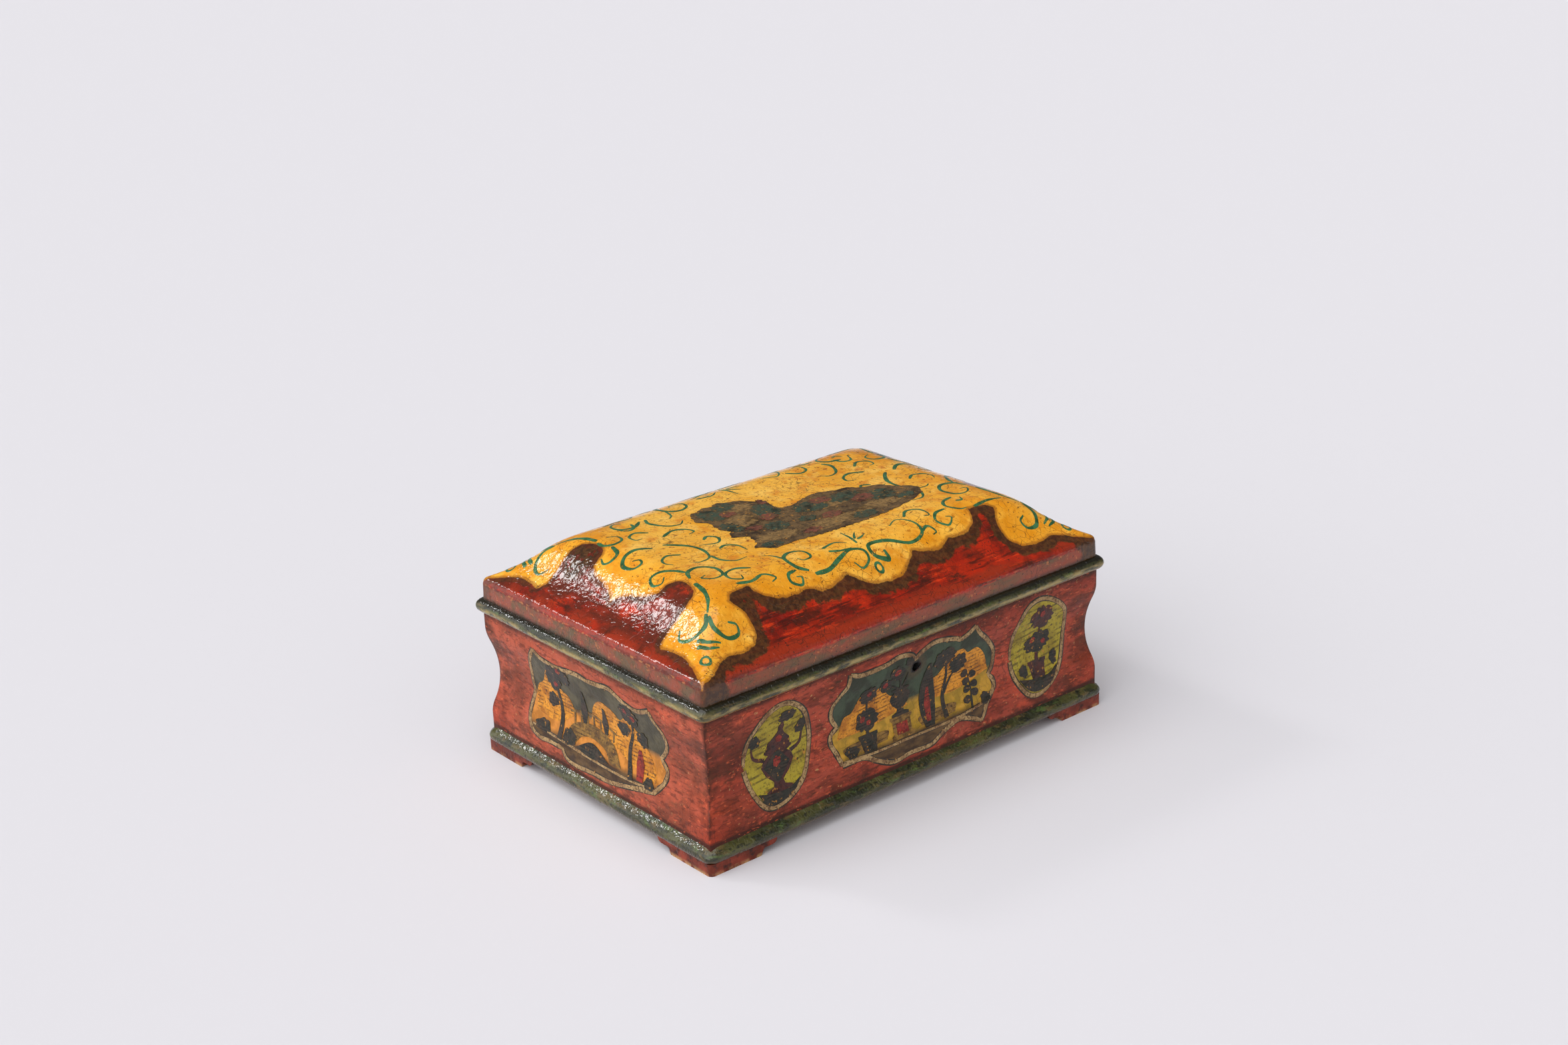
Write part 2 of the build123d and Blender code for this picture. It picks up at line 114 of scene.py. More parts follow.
def new_material(name):
    """An empty node material and its Object coordinates, which lie in the box's own frame."""
    made = bpy.data.materials.new(name)
    made.use_nodes = True
    tree = made.node_tree
    tree.nodes.clear()
    place = add(tree, "TexCoord").outputs["Object"]
    return made, tree, place


def mottle(tree, place, size, low=0.4, high=0.6, stretch=(1, 1, 1), shift=0.0, detail=4.0, rough=0.55):
    """Soft-edged patches about as wide as size, in mm: 0 below low and 1 above high."""
    mapped = add(tree, "Mapping", {
        "Vector": place, "Scale": stretch, "Location": (shift, shift * 0.7, shift * 1.3),
    })
    noise = add(tree, "TexNoise", {
        "Vector": mapped, "Scale": 1 / (size * MM), "Detail": detail, "Roughness": rough,
    })
    return add(
        tree, "MapRange", {"Value": noise, "From Min": low, "From Max": high},
        interpolation_type="SMOOTHSTEP",
    )


def between(tree, value, low, high, soft):
    """1 where a value lies from low to high, fading over soft."""
    rise = add(tree, "MapRange", {"Value": value, "From Min": low - soft, "From Max": low + soft})
    fall = add(tree, "MapRange", {"Value": value, "From Min": high + soft, "From Max": high - soft})
    return overlap(tree, rise, fall)


def past_level(tree, place, zero, one):
    """0 at one level and 1 at the other, both in mm above the table."""
    height = add(tree, "SeparateXYZ", {"Vector": place}).outputs["Z"]
    return add(tree, "MapRange", {"Value": height, "From Min": zero * MM, "From Max": one * MM})


def at_level(tree, place, low, high, soft):
    """1 from one level up to another, fading over soft, all in mm."""
    height = add(tree, "SeparateXYZ", {"Vector": place}).outputs["Z"]
    return between(tree, height, low * MM, high * MM, soft * MM)


def overlap(tree, *masks):
    """Where all the masks lie: their product. A number among them is a strength."""
    both = masks[0]
    for mask in masks[1:]:
        both = add(tree, "Math", {0: both, 1: mask}, operation="MULTIPLY")
    return both


def total(tree, *parts):
    """The sum of masks, heights or distances."""
    heap = parts[0]
    for part in parts[1:]:
        heap = add(tree, "Math", {0: heap, 1: part}, operation="ADD")
    return heap


def coat(tree, base, colour, *masks):
    """Lays a colour over another where all the masks lie."""
    return add(tree, "Mix", {0: overlap(tree, *masks), 6: base, 7: colour}, data_type="RGBA")


def patched(tree, place, base, *layers):
    """Lays patches over a colour. A layer is its colour, its strength and what mottle takes."""
    for colour, strength, *patch in layers:
        base = coat(tree, base, colour, mottle(tree, place, *patch), strength)
    return base


def cracks(tree, place, size, width, shift=0.0):
    """Craquelure: thin lines between cells about as wide as size, in mm, broken up by noise."""
    warp = add(tree, "TexNoise", {"Vector": place, "Scale": 0.6 / (size * MM), "Detail": 3.0})
    bent = add(tree, "Mix", {0: 0.0025, 4: place, 5: warp.outputs["Color"]}, data_type="VECTOR")
    cells = add(tree, "TexVoronoi", {"Vector": bent, "Scale": 1 / (size * MM)}, feature="DISTANCE_TO_EDGE")
    line = add(tree, "MapRange", {"Value": cells, "From Min": width, "From Max": 0.0})
    return overlap(tree, line, mottle(tree, place, size * 4, 0.42, 0.6, shift=shift))


def varnish_height(tree, place, grain, drag):
    """The varnish's own relief: fine grain, wrinkles like crumpled foil and brush drag."""
    fine = add(tree, "TexNoise", {
        "Vector": place, "Scale": 1 / (grain * MM), "Detail": 1.0, "Roughness": 0.5,
    })
    wrinkled = add(tree, "TexNoise", {
        "Vector": place, "Scale": 0.32 / (grain * MM), "Detail": 1.0, "Roughness": 0.4, "Distortion": 1.2,
    })
    dragged = add(tree, "Mapping", {"Vector": place, "Scale": drag})
    coarse = add(tree, "TexNoise", {
        "Vector": dragged, "Scale": 1 / (6 * MM), "Detail": 1.5, "Roughness": 0.5,
    })
    return total(tree, overlap(tree, fine, 0.12), overlap(tree, wrinkled, 1.4), coarse)


def varnished(made, tree, place, colour, matt, lift, gloss, gloss_rough, grain=1.1, drag=(1, 1, 1)):
    """Ends a material: matt paint under a thick, uneven coat of old varnish.

    matt is the width of the paint's dull patches in mm, then its least and greatest roughness.
    The varnish stands up by lift, its grain is so wide, both in mm, and drag stretches the strokes.
    """
    patch, smoothest, roughest = matt
    dull = mottle(tree, place, patch)
    rough = add(tree, "MapRange", {"Value": dull, "To Min": smoothest, "To Max": roughest})
    height = varnish_height(tree, place, grain, drag)
    bump = add(tree, "Bump", {"Height": height, "Distance": lift * MM, "Strength": 1.0})
    shader = add(tree, "BsdfPrincipled", {
        "Base Color": colour,
        "Roughness": rough,
        "IOR": 1.5,
        "Specular IOR Level": 0.06,
        "Coat Weight": gloss,
        "Coat Roughness": gloss_rough,
        "Coat IOR": 1.52,
        "Normal": bump,
        "Coat Normal": bump,
    })
    add(tree, "OutputMaterial", {"Surface": shader})
    return made


def past_corner(tree, place):
    """How far a place lies past the box's upright corners towards an end, in metres."""
    parts = add(tree, "SeparateXYZ", {"Vector": place})
    across = add(tree, "Math", {0: parts.outputs["X"]}, operation="ABSOLUTE")
    along = add(tree, "Math", {0: parts.outputs["Y"]}, operation="ABSOLUTE")
    apart = add(tree, "Math", {0: across, 1: along}, operation="SUBTRACT")
    return total(tree, apart, (wall_half_depth - wall_half_length) * MM)


def near_corner(tree, place, reach):
    """1 on the upright corners of the box, fading to 0 at a reach in mm."""
    off = add(tree, "Math", {0: past_corner(tree, place)}, operation="ABSOLUTE")
    return add(tree, "MapRange", {"Value": off, "From Min": reach * MM, "From Max": 0.0})


def towards_end(tree, place):
    """1 on the faces and slopes of the two ends, 0 on those of the long sides."""
    past = past_corner(tree, place)
    return add(tree, "MapRange", {"Value": past, "From Min": -3 * MM, "From Max": 3 * MM})


def near_point(tree, place, x, y, reach):
    """1 round an upright line through x and y, fading to 0 at a reach, all in mm."""
    flat = add(tree, "VectorMath", {0: place, 1: (1, 1, 0)}, operation="MULTIPLY")
    off = add(tree, "VectorMath", {0: flat, 1: (x * MM, y * MM, 0)}, operation="DISTANCE").outputs["Value"]
    return add(tree, "MapRange", {"Value": off, "From Min": reach * MM, "From Max": reach * 0.7 * MM})


def near_keyhole(tree, place, clear, dark):
    """1 round the keyhole on the front, fading from the distance dark to the distance clear, in mm."""
    face = add(tree, "VectorMath", {0: place, 1: (1, 0, 1)}, operation="MULTIPLY")
    hole = (keyhole_x * MM, 0, keyhole_level * MM)
    off = add(tree, "VectorMath", {0: face, 1: hole}, operation="DISTANCE").outputs["Value"]
    tremor = add(tree, "TexNoise", {"Vector": place, "Scale": 1 / (3 * MM)})
    off = total(tree, off, overlap(tree, tremor, 3 * MM), -1.5 * MM)
    # Drives a dirty smudge round the keyhole and painted shade in the hole
    smudge_and_shade = add(tree, "MapRange", {"Value": off, "From Min": clear * MM, "From Max": dark * MM})
    depth = add(tree, "SeparateXYZ", {"Vector": place}).outputs["Y"]
    front = add(tree, "MapRange", {"Value": depth, "From Min": 0.0, "From Max": -1 * MM})
    return overlap(tree, smudge_and_shade, front)


# Materials

def lid_paint():
    """Tempera on gesso under sandarac varnish, brushed: amber field, brown-edged, on brick red.

    The eye gets a warm glossy skin with dark specks, fine cracks and painted shade in the crease above the
    moulding.
    """
    made, tree, place = new_material("brushed_tempera_under_varnish")
    field = add(tree, "Attribute", attribute_name="field").outputs["Fac"]
    tremor = add(tree, "TexNoise", {"Vector": place, "Scale": 1 / (5 * MM), "Detail": 3.0})
    field = total(tree, field, add(tree, "MapRange", {"Value": tremor, "To Min": -1.1, "To Max": 1.1}))

    # Amber: two broad tones, orange stains, brown scars, dark specks
    amber = patched(
        tree, place, "#E6A026",
        ("#F2B644", 1, 30, 0.35, 0.65),
        ("#F8C45A", 0.7, 18, 0.52, 0.66, (1, 1, 1), 6.0),
        ("#D07812", 0.7, 9, 0.5, 0.7, (1, 1, 1), 3.0),
        ("#8A4410", 0.8, 4, 0.58, 0.7, (1, 1, 1), 5.0),
    )
    scars = overlap(
        tree, mottle(tree, place, 5, 0.58, 0.66, shift=15.0, detail=8.0, rough=0.7),
        mottle(tree, place, 26, 0.48, 0.62, shift=8.0),
    )
    amber = coat(tree, amber, "#4A3018", scars, 0.8)
    rim_zone = between(tree, field, -1, 12, 6)
    amber = coat(tree, amber, "#D88A10", rim_zone, mottle(tree, place, 15, 0.3, 0.6, shift=29.0))
    near_edge = between(tree, field, -0.2, 1.3, 0.6)
    amber = coat(tree, amber, "#8A4C10", near_edge, 0.7)

    # Red: orange ground, vermilion wear, brown dirt in streaks along the long sides, painted shade above the
    # moulding
    red = patched(
        tree, place, "#821404",
        ("#B02606", 1, 22, 0.35, 0.65, (1, 1, 1.6)),
        ("#C43812", 0.65, 16, 0.55, 0.66, (0.5, 1, 2), 7.0, 6.0),
        ("#2E1A0C", 0.8, 9, 0.5, 0.66, (0.7, 1, 1.5), 9.0, 7.0, 0.65),
        ("#241008", 0.75, 1.9, 0.5, 0.63, (0.08, 0.08, 1), 21.0, 5.0, 0.6),
        ("#D63A10", 0.7, 1.5, 0.56, 0.65, (0.08, 0.08, 1), 23.0, 5.0, 0.6),
    )
    under_band = overlap(
        tree, between(tree, field, -15, -6, 3.5),
        mottle(tree, place, 8, 0.4, 0.62, (0.6, 0.6, 1), 31.0, 7.0),
    )
    red = coat(tree, red, "#4A1608", under_band, 0.7)
    ends = towards_end(tree, place)
    red = coat(tree, red, "#5A1E0C", ends, mottle(tree, place, 14, 0.3, 0.62, (1, 0.6, 1), 27.0, 6.0))
    roll = at_level(tree, place, 106.0, 110.8, 1.4)
    red = coat(tree, red, "#902A10", roll, mottle(tree, place, 18, 0.4, 0.56, (0.3, 1, 1), 2.0, 6.0))
    fascia = past_level(tree, place, 104.6, 103.6)
    dull = patched(
        tree, place, "#8A4026",
        ("#5C4A2C", 1, 12, 0.4, 0.62, (0.4, 1, 1), 4.0, 6.0),
        ("#B46A38", 0.8, 3, 0.62, 0.68, (1, 1, 1), 14.0),
    )
    red = coat(tree, red, dull, fascia, 0.85)
    # Painted shade: the fascia turns near black towards its foot, in the crease above the lid moulding
    foot = past_level(tree, place, 98.5, 96)
    red = coat(tree, red, "#1E1A10", foot, 0.85)
    arris = at_level(tree, place, 104.4, 105.5, 0.4)
    chipped = overlap(tree, arris, mottle(tree, place, 2.2, 0.48, 0.62, (0.6, 0.6, 1), 6.0))
    red = coat(tree, red, "#B87844", chipped, total(tree, overlap(tree, ends, 0.4), 0.3))

    # A broad brown brush band under the amber's edge, filling two of the notches
    ragged_edge = add(tree, "MapRange", {
        "Value": mottle(tree, place, 7, 0.3, 0.7, shift=1.0), "To Min": 0.8, "To Max": -2.4,
    })
    narrower = total(tree, overlap(tree, ends, 0.8), 1.0)
    shade = between(tree, total(tree, overlap(tree, field, narrower), ragged_edge), -6.6, 1.0, 0.7)
    shade = overlap(tree, shade, total(tree, overlap(tree, ends, -0.35), 1.0))
    for x, y, reach in ((-118, 42, 13), (-97, -73, 11), (118, 42, 13), (104, 76, 11)):
        notch = near_point(tree, place, x, y, reach)
        chips = mottle(tree, place, 4, 0.62, 0.56, shift=12.0)
        shade = add(tree, "Math", {0: shade, 1: overlap(tree, notch, chips)}, operation="MAXIMUM")
    brown = coat(tree, "#33210E", "#4E3216", mottle(tree, place, 3, 0.4, 0.6, (1, 1, 1), 3.0, 6.0))
    red = coat(tree, red, brown, shade, 0.93)
    inside = add(tree, "MapRange", {"Value": field, "From Min": -0.3, "From Max": 0.3})
    above_arris = past_level(tree, place, 104.4, 105.0)
    inside = overlap(tree, inside, above_arris)
    colour = coat(tree, red, amber, inside)
    colour = coat(tree, colour, "#2A1A10", cracks(tree, place, 5, 0.035), 0.75)
    specks = mottle(tree, place, 1.6, 0.65, 0.71, shift=11.0, detail=2.0)
    colour = coat(tree, colour, "#2C1C12", specks, 0.85)
    return varnished(made, tree, place, colour, (9, 0.35, 0.55), 0.23, 0.8, 0.06)


def wall_paint():
    """Brick-red tempera under varnish, brushed along the walls: dirt, scrapes, vermilion wear, painted light
    and shade.
    """
    made, tree, place = new_material("brick_red_tempera")
    red = patched(
        tree, place, "#863222",
        ("#A64834", 1, 24, 0.35, 0.65, (0.5, 0.5, 1)),
        ("#BE4A2E", 0.7, 12, 0.52, 0.68, (0.4, 0.4, 1.4), 2.0, 6.0),
        ("#5A2414", 0.75, 18, 0.48, 0.66, (0.5, 0.5, 1.4), 5.0, 7.0),
        ("#3E2814", 0.8, 6, 0.54, 0.68, (0.6, 0.6, 1.6), 8.0, 7.0, 0.65),
        ("#B8895A", 0.7, 2.2, 0.66, 0.7, (1, 1, 1), 17.0, 3.0),
    )
    # Painted light: the end walls are painted lighter than the long walls
    red = coat(tree, red, "#C66A4A", towards_end(tree, place), 0.3)
    # A mottled dark band above the base moulding: dirt and painted shade in the crease
    low_dirt_and_shade = overlap(
        tree, at_level(tree, place, 12, 25, 4), mottle(tree, place, 9, 0.42, 0.62, shift=33.0),
    )
    red = coat(tree, red, "#4A2414", low_dirt_and_shade, 0.6)
    # Mottled darker brown towards the four upright corners
    corner_darkening = overlap(
        tree, near_corner(tree, place, 60), mottle(tree, place, 11, 0.36, 0.62, (0.7, 0.7, 1.2), 15.0, 7.0),
    )
    red = coat(tree, red, "#44220F", corner_darkening, 0.85)
    low_corner = overlap(tree, near_corner(tree, place, 26), past_level(tree, place, 44, 20))
    red = coat(tree, red, "#AC3A20", low_corner, 0.7)
    # Painted shade: near black bands in the crease over the base moulding and under the lid moulding
    wall_crease_shade = total(tree, at_level(tree, place, 10, 17.2, 0.8), at_level(tree, place, 85.4, 90, 1.6))
    red = coat(tree, red, "#24160C", wall_crease_shade, 0.85)
    corner = overlap(
        tree, near_corner(tree, place, 2.4),
        mottle(tree, place, 5, 0.4, 0.55, shift=3.0, detail=6.0),
    )
    red = coat(tree, red, "#2A140C", corner, 0.85)
    red = coat(tree, red, "#2A1610", cracks(tree, place, 6, 0.03, 4.0), 0.6)
    red = patched(
        tree, place, red,
        ("#4A1C10", 0.6, 1.9, 0.5, 0.64, (0.3, 0.3, 1), 21.0, 3.0, 0.6),
        ("#D2603A", 0.5, 1.7, 0.6, 0.7, (0.4, 0.4, 1), 23.0, 3.0),
    )
    # Painted shade: near black in and round the keyhole
    red = coat(tree, red, "#060403", near_keyhole(tree, place, 4.6, 3.2))
    return varnished(made, tree, place, red, (8, 0.45, 0.62), 0.26, 0.3, 0.2, 1.3, (0.4, 0.4, 1.5))


def moulding_paint():
    """Dark green tempera on pine mouldings, thick varnish: worn tan nose with a painted highlight, painted
    shade in the creases, white glints.
    """
    made, tree, place = new_material("dark_green_tempera")
    green = patched(
        tree, place, "#262810",
        ("#48461E", 1, 8, 0.38, 0.62, (0.3, 0.3, 1)),
        ("#53682F", 0.6, 2.4, 0.54, 0.68, (0.25, 0.25, 1), 3.0, 6.0),
        ("#64502A", 0.7, 3, 0.52, 0.66, (0.25, 0.25, 1), 6.0, 6.0),
        ("#141708", 0.8, 3, 0.56, 0.66, (0.5, 0.5, 1), 9.0, 6.0),
        ("#0C0E04", 0.7, 1.6, 0.56, 0.66, (0.5, 0.5, 1), 25.0, 3.0),
    )
    # The lid moulding's nose turns lighter tan: worn paint and a painted highlight
    lid_nose = at_level(tree, place, 89.9, 92.4, 0.7)
    green = coat(
        tree, green, "#948048", lid_nose,
        mottle(tree, place, 4, 0.4, 0.6, (0.3, 0.3, 1), 13.0, 6.0),
    )
    rubbed = at_level(tree, place, 88.2, 89.3, 0.5)
    green = coat(
        tree, green, "#A0703A", rubbed,
        mottle(tree, place, 10, 0.36, 0.52, (0.4, 0.4, 1), 11.0, 6.0),
    )
    # Painted shade: near black bands in the creases above the lid moulding and above the base moulding
    moulding_crease_shade = total(tree, at_level(tree, place, 94.0, 97, 0.7), at_level(tree, place, 15.0, 17, 0.6))
    green = coat(tree, green, "#15120A", moulding_crease_shade, 0.9)
    low_band = past_level(tree, place, 9.4, 8.2)
    green = coat(tree, green, "#4A3826", low_band, 0.8)
    return varnished(made, tree, place, green, (6, 0.4, 0.55), 0.34, 1.0, 0.06, 1.0, (0.6, 0.6, 1.2))


def foot_paint():
    """Dark red tempera on pine brackets, rubbed to tan wood on the edges that meet the table."""
    made, tree, place = new_material("dark_red_tempera")
    red = patched(
        tree, place, "#5E2414",
        ("#863624", 1, 12, 0.38, 0.62),
        ("#2A1610", 0.8, 5, 0.5, 0.66, (1, 1, 1), 4.0, 7.0),
    )
    foot = past_level(tree, place, 2.4, 0.4)
    worn = overlap(tree, foot, mottle(tree, place, 6, 0.42, 0.6, shift=7.0, detail=6.0))
    red = coat(tree, red, "#B08A5E", worn, 0.85)
    return varnished(made, tree, place, red, (6, 0.45, 0.62), 0.35, 0.4, 0.18)


def scroll_paint():
    """Green tempera scrolls, thin enough for the amber to show through their dry ends."""
    made, tree, place = new_material("green_tempera_scrolls")
    green = patched(
        tree, place, "#2C5636",
        ("#3C6E48", 1, 8, 0.38, 0.62),
        ("#24401E", 0.7, 4, 0.52, 0.66, (1, 1, 1), 3.0),
        ("#B87A1C", 0.7, 1.8, 0.62, 0.7, (1, 1, 1), 6.0),
    )
    return varnished(made, tree, place, green, (6, 0.35, 0.5), 0.25, 0.6, 0.12)


def bare_wood(name, grain_scale):
    """Bare pine, planed and never painted, gone brown with age: grain, dust and stains."""
    made, tree, place = new_material(name)
    grain = add(tree, "Mapping", {"Vector": place, "Scale": grain_scale})
    rings = add(tree, "TexNoise", {"Vector": grain, "Scale": 1 / (3 * MM), "Detail": 5.0, "Roughness": 0.6})
    wood = add(tree, "ValToRGB", {"Fac": rings}, [(0.3, "#6E4C2C"), (0.5, "#9A7448"), (0.7, "#B08C5C")])
    wood = coat(tree, wood, "#4A3320", mottle(tree, place, 18, 0.5, 0.7, shift=2.0, detail=6.0), 0.6)
    # Painted shade: near black inside the keyhole
    wood = coat(tree, wood, "#060403", near_keyhole(tree, place, 5.0, 4.0))
    bump = add(tree, "Bump", {"Height": rings, "Distance": 0.25 * MM, "Strength": 1.0})
    shader = add(tree, "BsdfPrincipled", {"Base Color": wood, "Roughness": 0.75, "Normal": bump})
    add(tree, "OutputMaterial", {"Surface": shader})
    return made


def wrought_iron():
    """Hand-forged iron, blackened and rusty: dark, half matt, with brown bloom."""
    made, tree, place = new_material("forged_iron")
    iron = patched(
        tree, place, "#3A3632",
        ("#5C5650", 1, 5, 0.4, 0.6),
        ("#5E3820", 0.8, 3, 0.52, 0.66, (1, 1, 1), 4.0, 6.0),
    )
    rust = mottle(tree, place, 3, 0.5, 0.68, shift=4.0, detail=6.0)
    rough = add(tree, "MapRange", {"Value": rust, "To Min": 0.42, "To Max": 0.8})
    grain = add(tree, "TexNoise", {"Vector": place, "Scale": 1 / (0.8 * MM), "Detail": 4.0})
    bump = add(tree, "Bump", {"Height": grain, "Distance": 0.12 * MM, "Strength": 1.0})
    shader = add(tree, "BsdfPrincipled", {
        "Base Color": iron, "Metallic": 0.85, "Roughness": rough, "Normal": bump,
    })
    add(tree, "OutputMaterial", {"Surface": shader})
    return made


amber_and_red = lid_paint()
brick_red = wall_paint()
dark_green = moulding_paint()
dark_red = foot_paint()
scroll_green = scroll_paint()
old_pine = bare_wood("aged_pine_along_the_box", (0.05, 1, 1))
old_end_pine = bare_wood("aged_pine_across_the_box", (1, 0.05, 1))
black_iron = wrought_iron()


# Shapes

def coordinates(piece):
    """The piece's vertices as an array in mm."""
    flat = np.empty(len(piece.data.vertices) * 3)
    piece.data.vertices.foreach_get("co", flat)
    return flat.reshape(-1, 3) / MM


def place_vertices(piece, points):
    piece.data.vertices.foreach_set("co", (points * MM).astype(np.float32).ravel())
    piece.data.update()


def start(primitive, name, **sizes):
    """Adds a primitive with nothing else selected, and names it."""
    bpy.ops.object.select_all(action="DESELECT")
    primitive(**sizes)
    piece = bpy.context.object
    piece.name = name
    piece.data.name = name
    return piece


def take(*pieces):
    """Selects pieces alone, the first as the active one."""
    bpy.ops.object.select_all(action="DESELECT")
    bpy.context.view_layer.objects.active = pieces[0]
    for piece in pieces:
        piece.select_set(True)


def edit_all():
    """Enters edit mode with the whole active piece selected."""
    bpy.ops.object.mode_set(mode="EDIT")
    bpy.ops.mesh.select_all(action="SELECT")


def drawn(name, lines, closed, widths=None, **settings):
    """A mesh from lines in the XY plane, in mm. The curve's settings give them their section."""
    curve = bpy.data.curves.new(name, "CURVE")
    for setting, value in settings.items():
        setattr(curve, setting, value)
    for number, line in enumerate(lines):
        spline = curve.splines.new("POLY")
        spline.points.add(len(line) - 1)
        spline.use_cyclic_u = closed
        for point, (u, v) in zip(spline.points, line):
            point.co = (u * MM, v * MM, 0, 1)
        if widths:
            spline.points.foreach_set("radius", widths[number])
    piece = bpy.data.objects.new(name, curve)
    bpy.context.scene.collection.objects.link(piece)
    take(piece)
    bpy.ops.object.convert(target="MESH")
    return bpy.context.object


def cut_out(piece, cutter):
    """Cuts the cutter's form out of a piece and removes the cutter."""
    take(piece)
    cut = piece.modifiers.new("cut", "BOOLEAN")
    cut.object = cutter
    bpy.ops.object.modifier_apply(modifier=cut.name)
    bpy.data.objects.remove(cutter)


def choose(piece, mode, test):
    """Enters edit mode with the faces or edges whose middle, in mm, passes the test."""
    bpy.ops.object.mode_set(mode="EDIT")
    bpy.ops.mesh.select_mode(type=mode)
    bpy.ops.mesh.select_all(action="DESELECT")
    bpy.ops.object.mode_set(mode="OBJECT")
    mesh = piece.data
    for part in (mesh.polygons if mode == "FACE" else mesh.edges):
        if mode == "FACE":
            middle = part.center
        else:
            middle = (mesh.vertices[part.vertices[0]].co + mesh.vertices[part.vertices[1]].co) / 2
        part.select = bool(test(middle / MM, part))
    bpy.ops.object.mode_set(mode="EDIT")


def finish_piece(piece, body, slot, *materials, replaced=(), smooth=40):
    """Normals outwards, soft shading, finish and body of a piece whose shape is done."""
    bpy.context.view_layer.objects.active = piece
    edit_all()
    bpy.ops.mesh.normals_make_consistent(inside=False)
    bpy.ops.object.mode_set(mode="OBJECT")
    if not piece.data.materials:
        for material in materials:
            piece.data.materials.append(material)
    take(piece)
    bpy.ops.object.shade_smooth_by_angle(angle=math.radians(smooth))
    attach(piece, body)
    if replaced:
        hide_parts(*replaced)
    return piece


def smooth_line(points, step=1.0, closed=False):
    """A Catmull-Rom line through points, sampled about every step."""
    points = np.array(points, float)
    if closed:
        ends = np.vstack([points[-1], points, points[:2]])
    else:
        ends = np.vstack([2 * points[0] - points[1], points, 2 * points[-1] - points[-2]])
    line = []
    for a, b, c, d in zip(ends, ends[1:], ends[2:], ends[3:]):
        count = max(2, int(np.linalg.norm(c - b) / step))
        t = np.linspace(0, 1, count, endpoint=False)[:, None]
        bend = (2 * a - 5 * b + 4 * c - d) * t**2 + (3 * b - a - 3 * c + d) * t**3
        line.append(0.5 * (2 * b + (c - a) * t + bend))
    if not closed:
        line.append(points[-1:])
    return np.vstack(line)


# The lid's form: height over the plan, in mm

def lid_profile():
    """Height of the slope against the distance in from the arris."""
    runs, levels = [0.0], [arris_level]
    chord = math.hypot(edge_run, edge_rise)
    for t in np.linspace(0, 1, 8)[1:]:
        swell = 4 * edge_swell * t * (1 - t)
        runs.append(edge_run * t - swell * edge_rise / chord)
        levels.append(arris_level + edge_rise * t + swell * edge_run / chord)
    for turn in np.linspace(foot_turn, steepest_turn, 30)[1:]:
        runs.append(edge_run + hollow_radius * (math.sin(turn) - math.sin(foot_turn)))
        levels.append(arris_level + edge_rise + hollow_radius * (math.cos(foot_turn) - math.cos(turn)))
    foot_run, foot_level = runs[-1], levels[-1]
    for turn in np.linspace(steepest_turn, top_turn, 40)[1:]:
        runs.append(foot_run + swell_radius * (math.sin(steepest_turn) - math.sin(turn)))
        levels.append(foot_level + swell_radius * (math.cos(turn) - math.cos(steepest_turn)))
    return runs, levels


profile_runs, profile_levels = lid_profile()
hip_softness_at_arris, hip_softness_at_top, hip_softening = 0.6, 17.0, 0.34
hand_dip, hand_dip_wave = 0.63, 0.15


def lid_height(x, y):
    """Height of the lid's skin: the slopes meet in hips that are softer the higher they lie."""
    across, along = arris_half_length - np.abs(x), arris_half_depth - np.abs(y)
    lower = np.minimum(across, along)
    softness = hip_softness_at_arris + hip_softening * lower
    softness = np.clip(softness, hip_softness_at_arris, hip_softness_at_top)
    meeting = np.maximum(softness - np.abs(across - along), 0) / softness
    inset = np.maximum(lower - meeting**2 * softness / 4, 0)
    level = np.interp(inset, profile_runs, profile_levels)
    worked = np.clip((inset - 3) / 30, 0, 1)
    broad = np.sin(x / 31 + 0.7) * np.cos(y / 27 + 1.9)
    small = np.sin(x / 13 + y / 17 + 2.2) * np.cos(y / 11 - x / 29)
    return level - worked * (hand_dip + hand_dip_wave * (broad + 0.6 * small))


# The amber field's scalloped edge, one quarter of it, from the middle of the end to the middle
# of the front, as smooth stretches that meet in cusps
field_quarter = [
    [(-128.4, 0), (-125.4, -4.5), (-123.2, -14), (-121.6, -24), (-118.3, -29.2)],
    [(-118.3, -29.2), (-111.2, -31), (-107.4, -38), (-110.4, -50), (-118.3, -53.8)],
    [(-118.3, -53.8), (-129, -53), (-136.4, -54.2), (-139.4, -57.6)],
    [(-139.4, -57.6), (-137.6, -67), (-137.8, -78), (-141.5, -90), (-146.6, -101.6)],
    [(-146.6, -101.6), (-137.6, -99.1), (-129.7, -94.8), (-120.7, -91.7), (-110.9, -92.9), (-102, -91.4)],
    [(-102, -91.4), (-97, -85), (-96.8, -77), (-101.3, -69.1)],
    [(-101.3, -69.1), (-96.7, -65.1), (-84.4, -64)],
    [(-84.4, -64), (-83.4, -68.5), (-79, -73), (-70, -76.4), (-62, -76.9), (-53, -76.2)],
    [(-53, -76.2), (-41, -79.2), (-24.5, -76)],
    [(-24.5, -76), (-17.5, -80.5), (-10, -84), (0, -85)],
]


def field_outline():
    """The whole edge: the quarter mirrored into the other three."""
    quarter = np.vstack([smooth_line(stretch, 1.5)[:-1] for stretch in field_quarter])
    front = np.vstack([quarter, (quarter * (-1, 1))[::-1]])
    return np.vstack([front, (front * (1, -1))[::-1]])


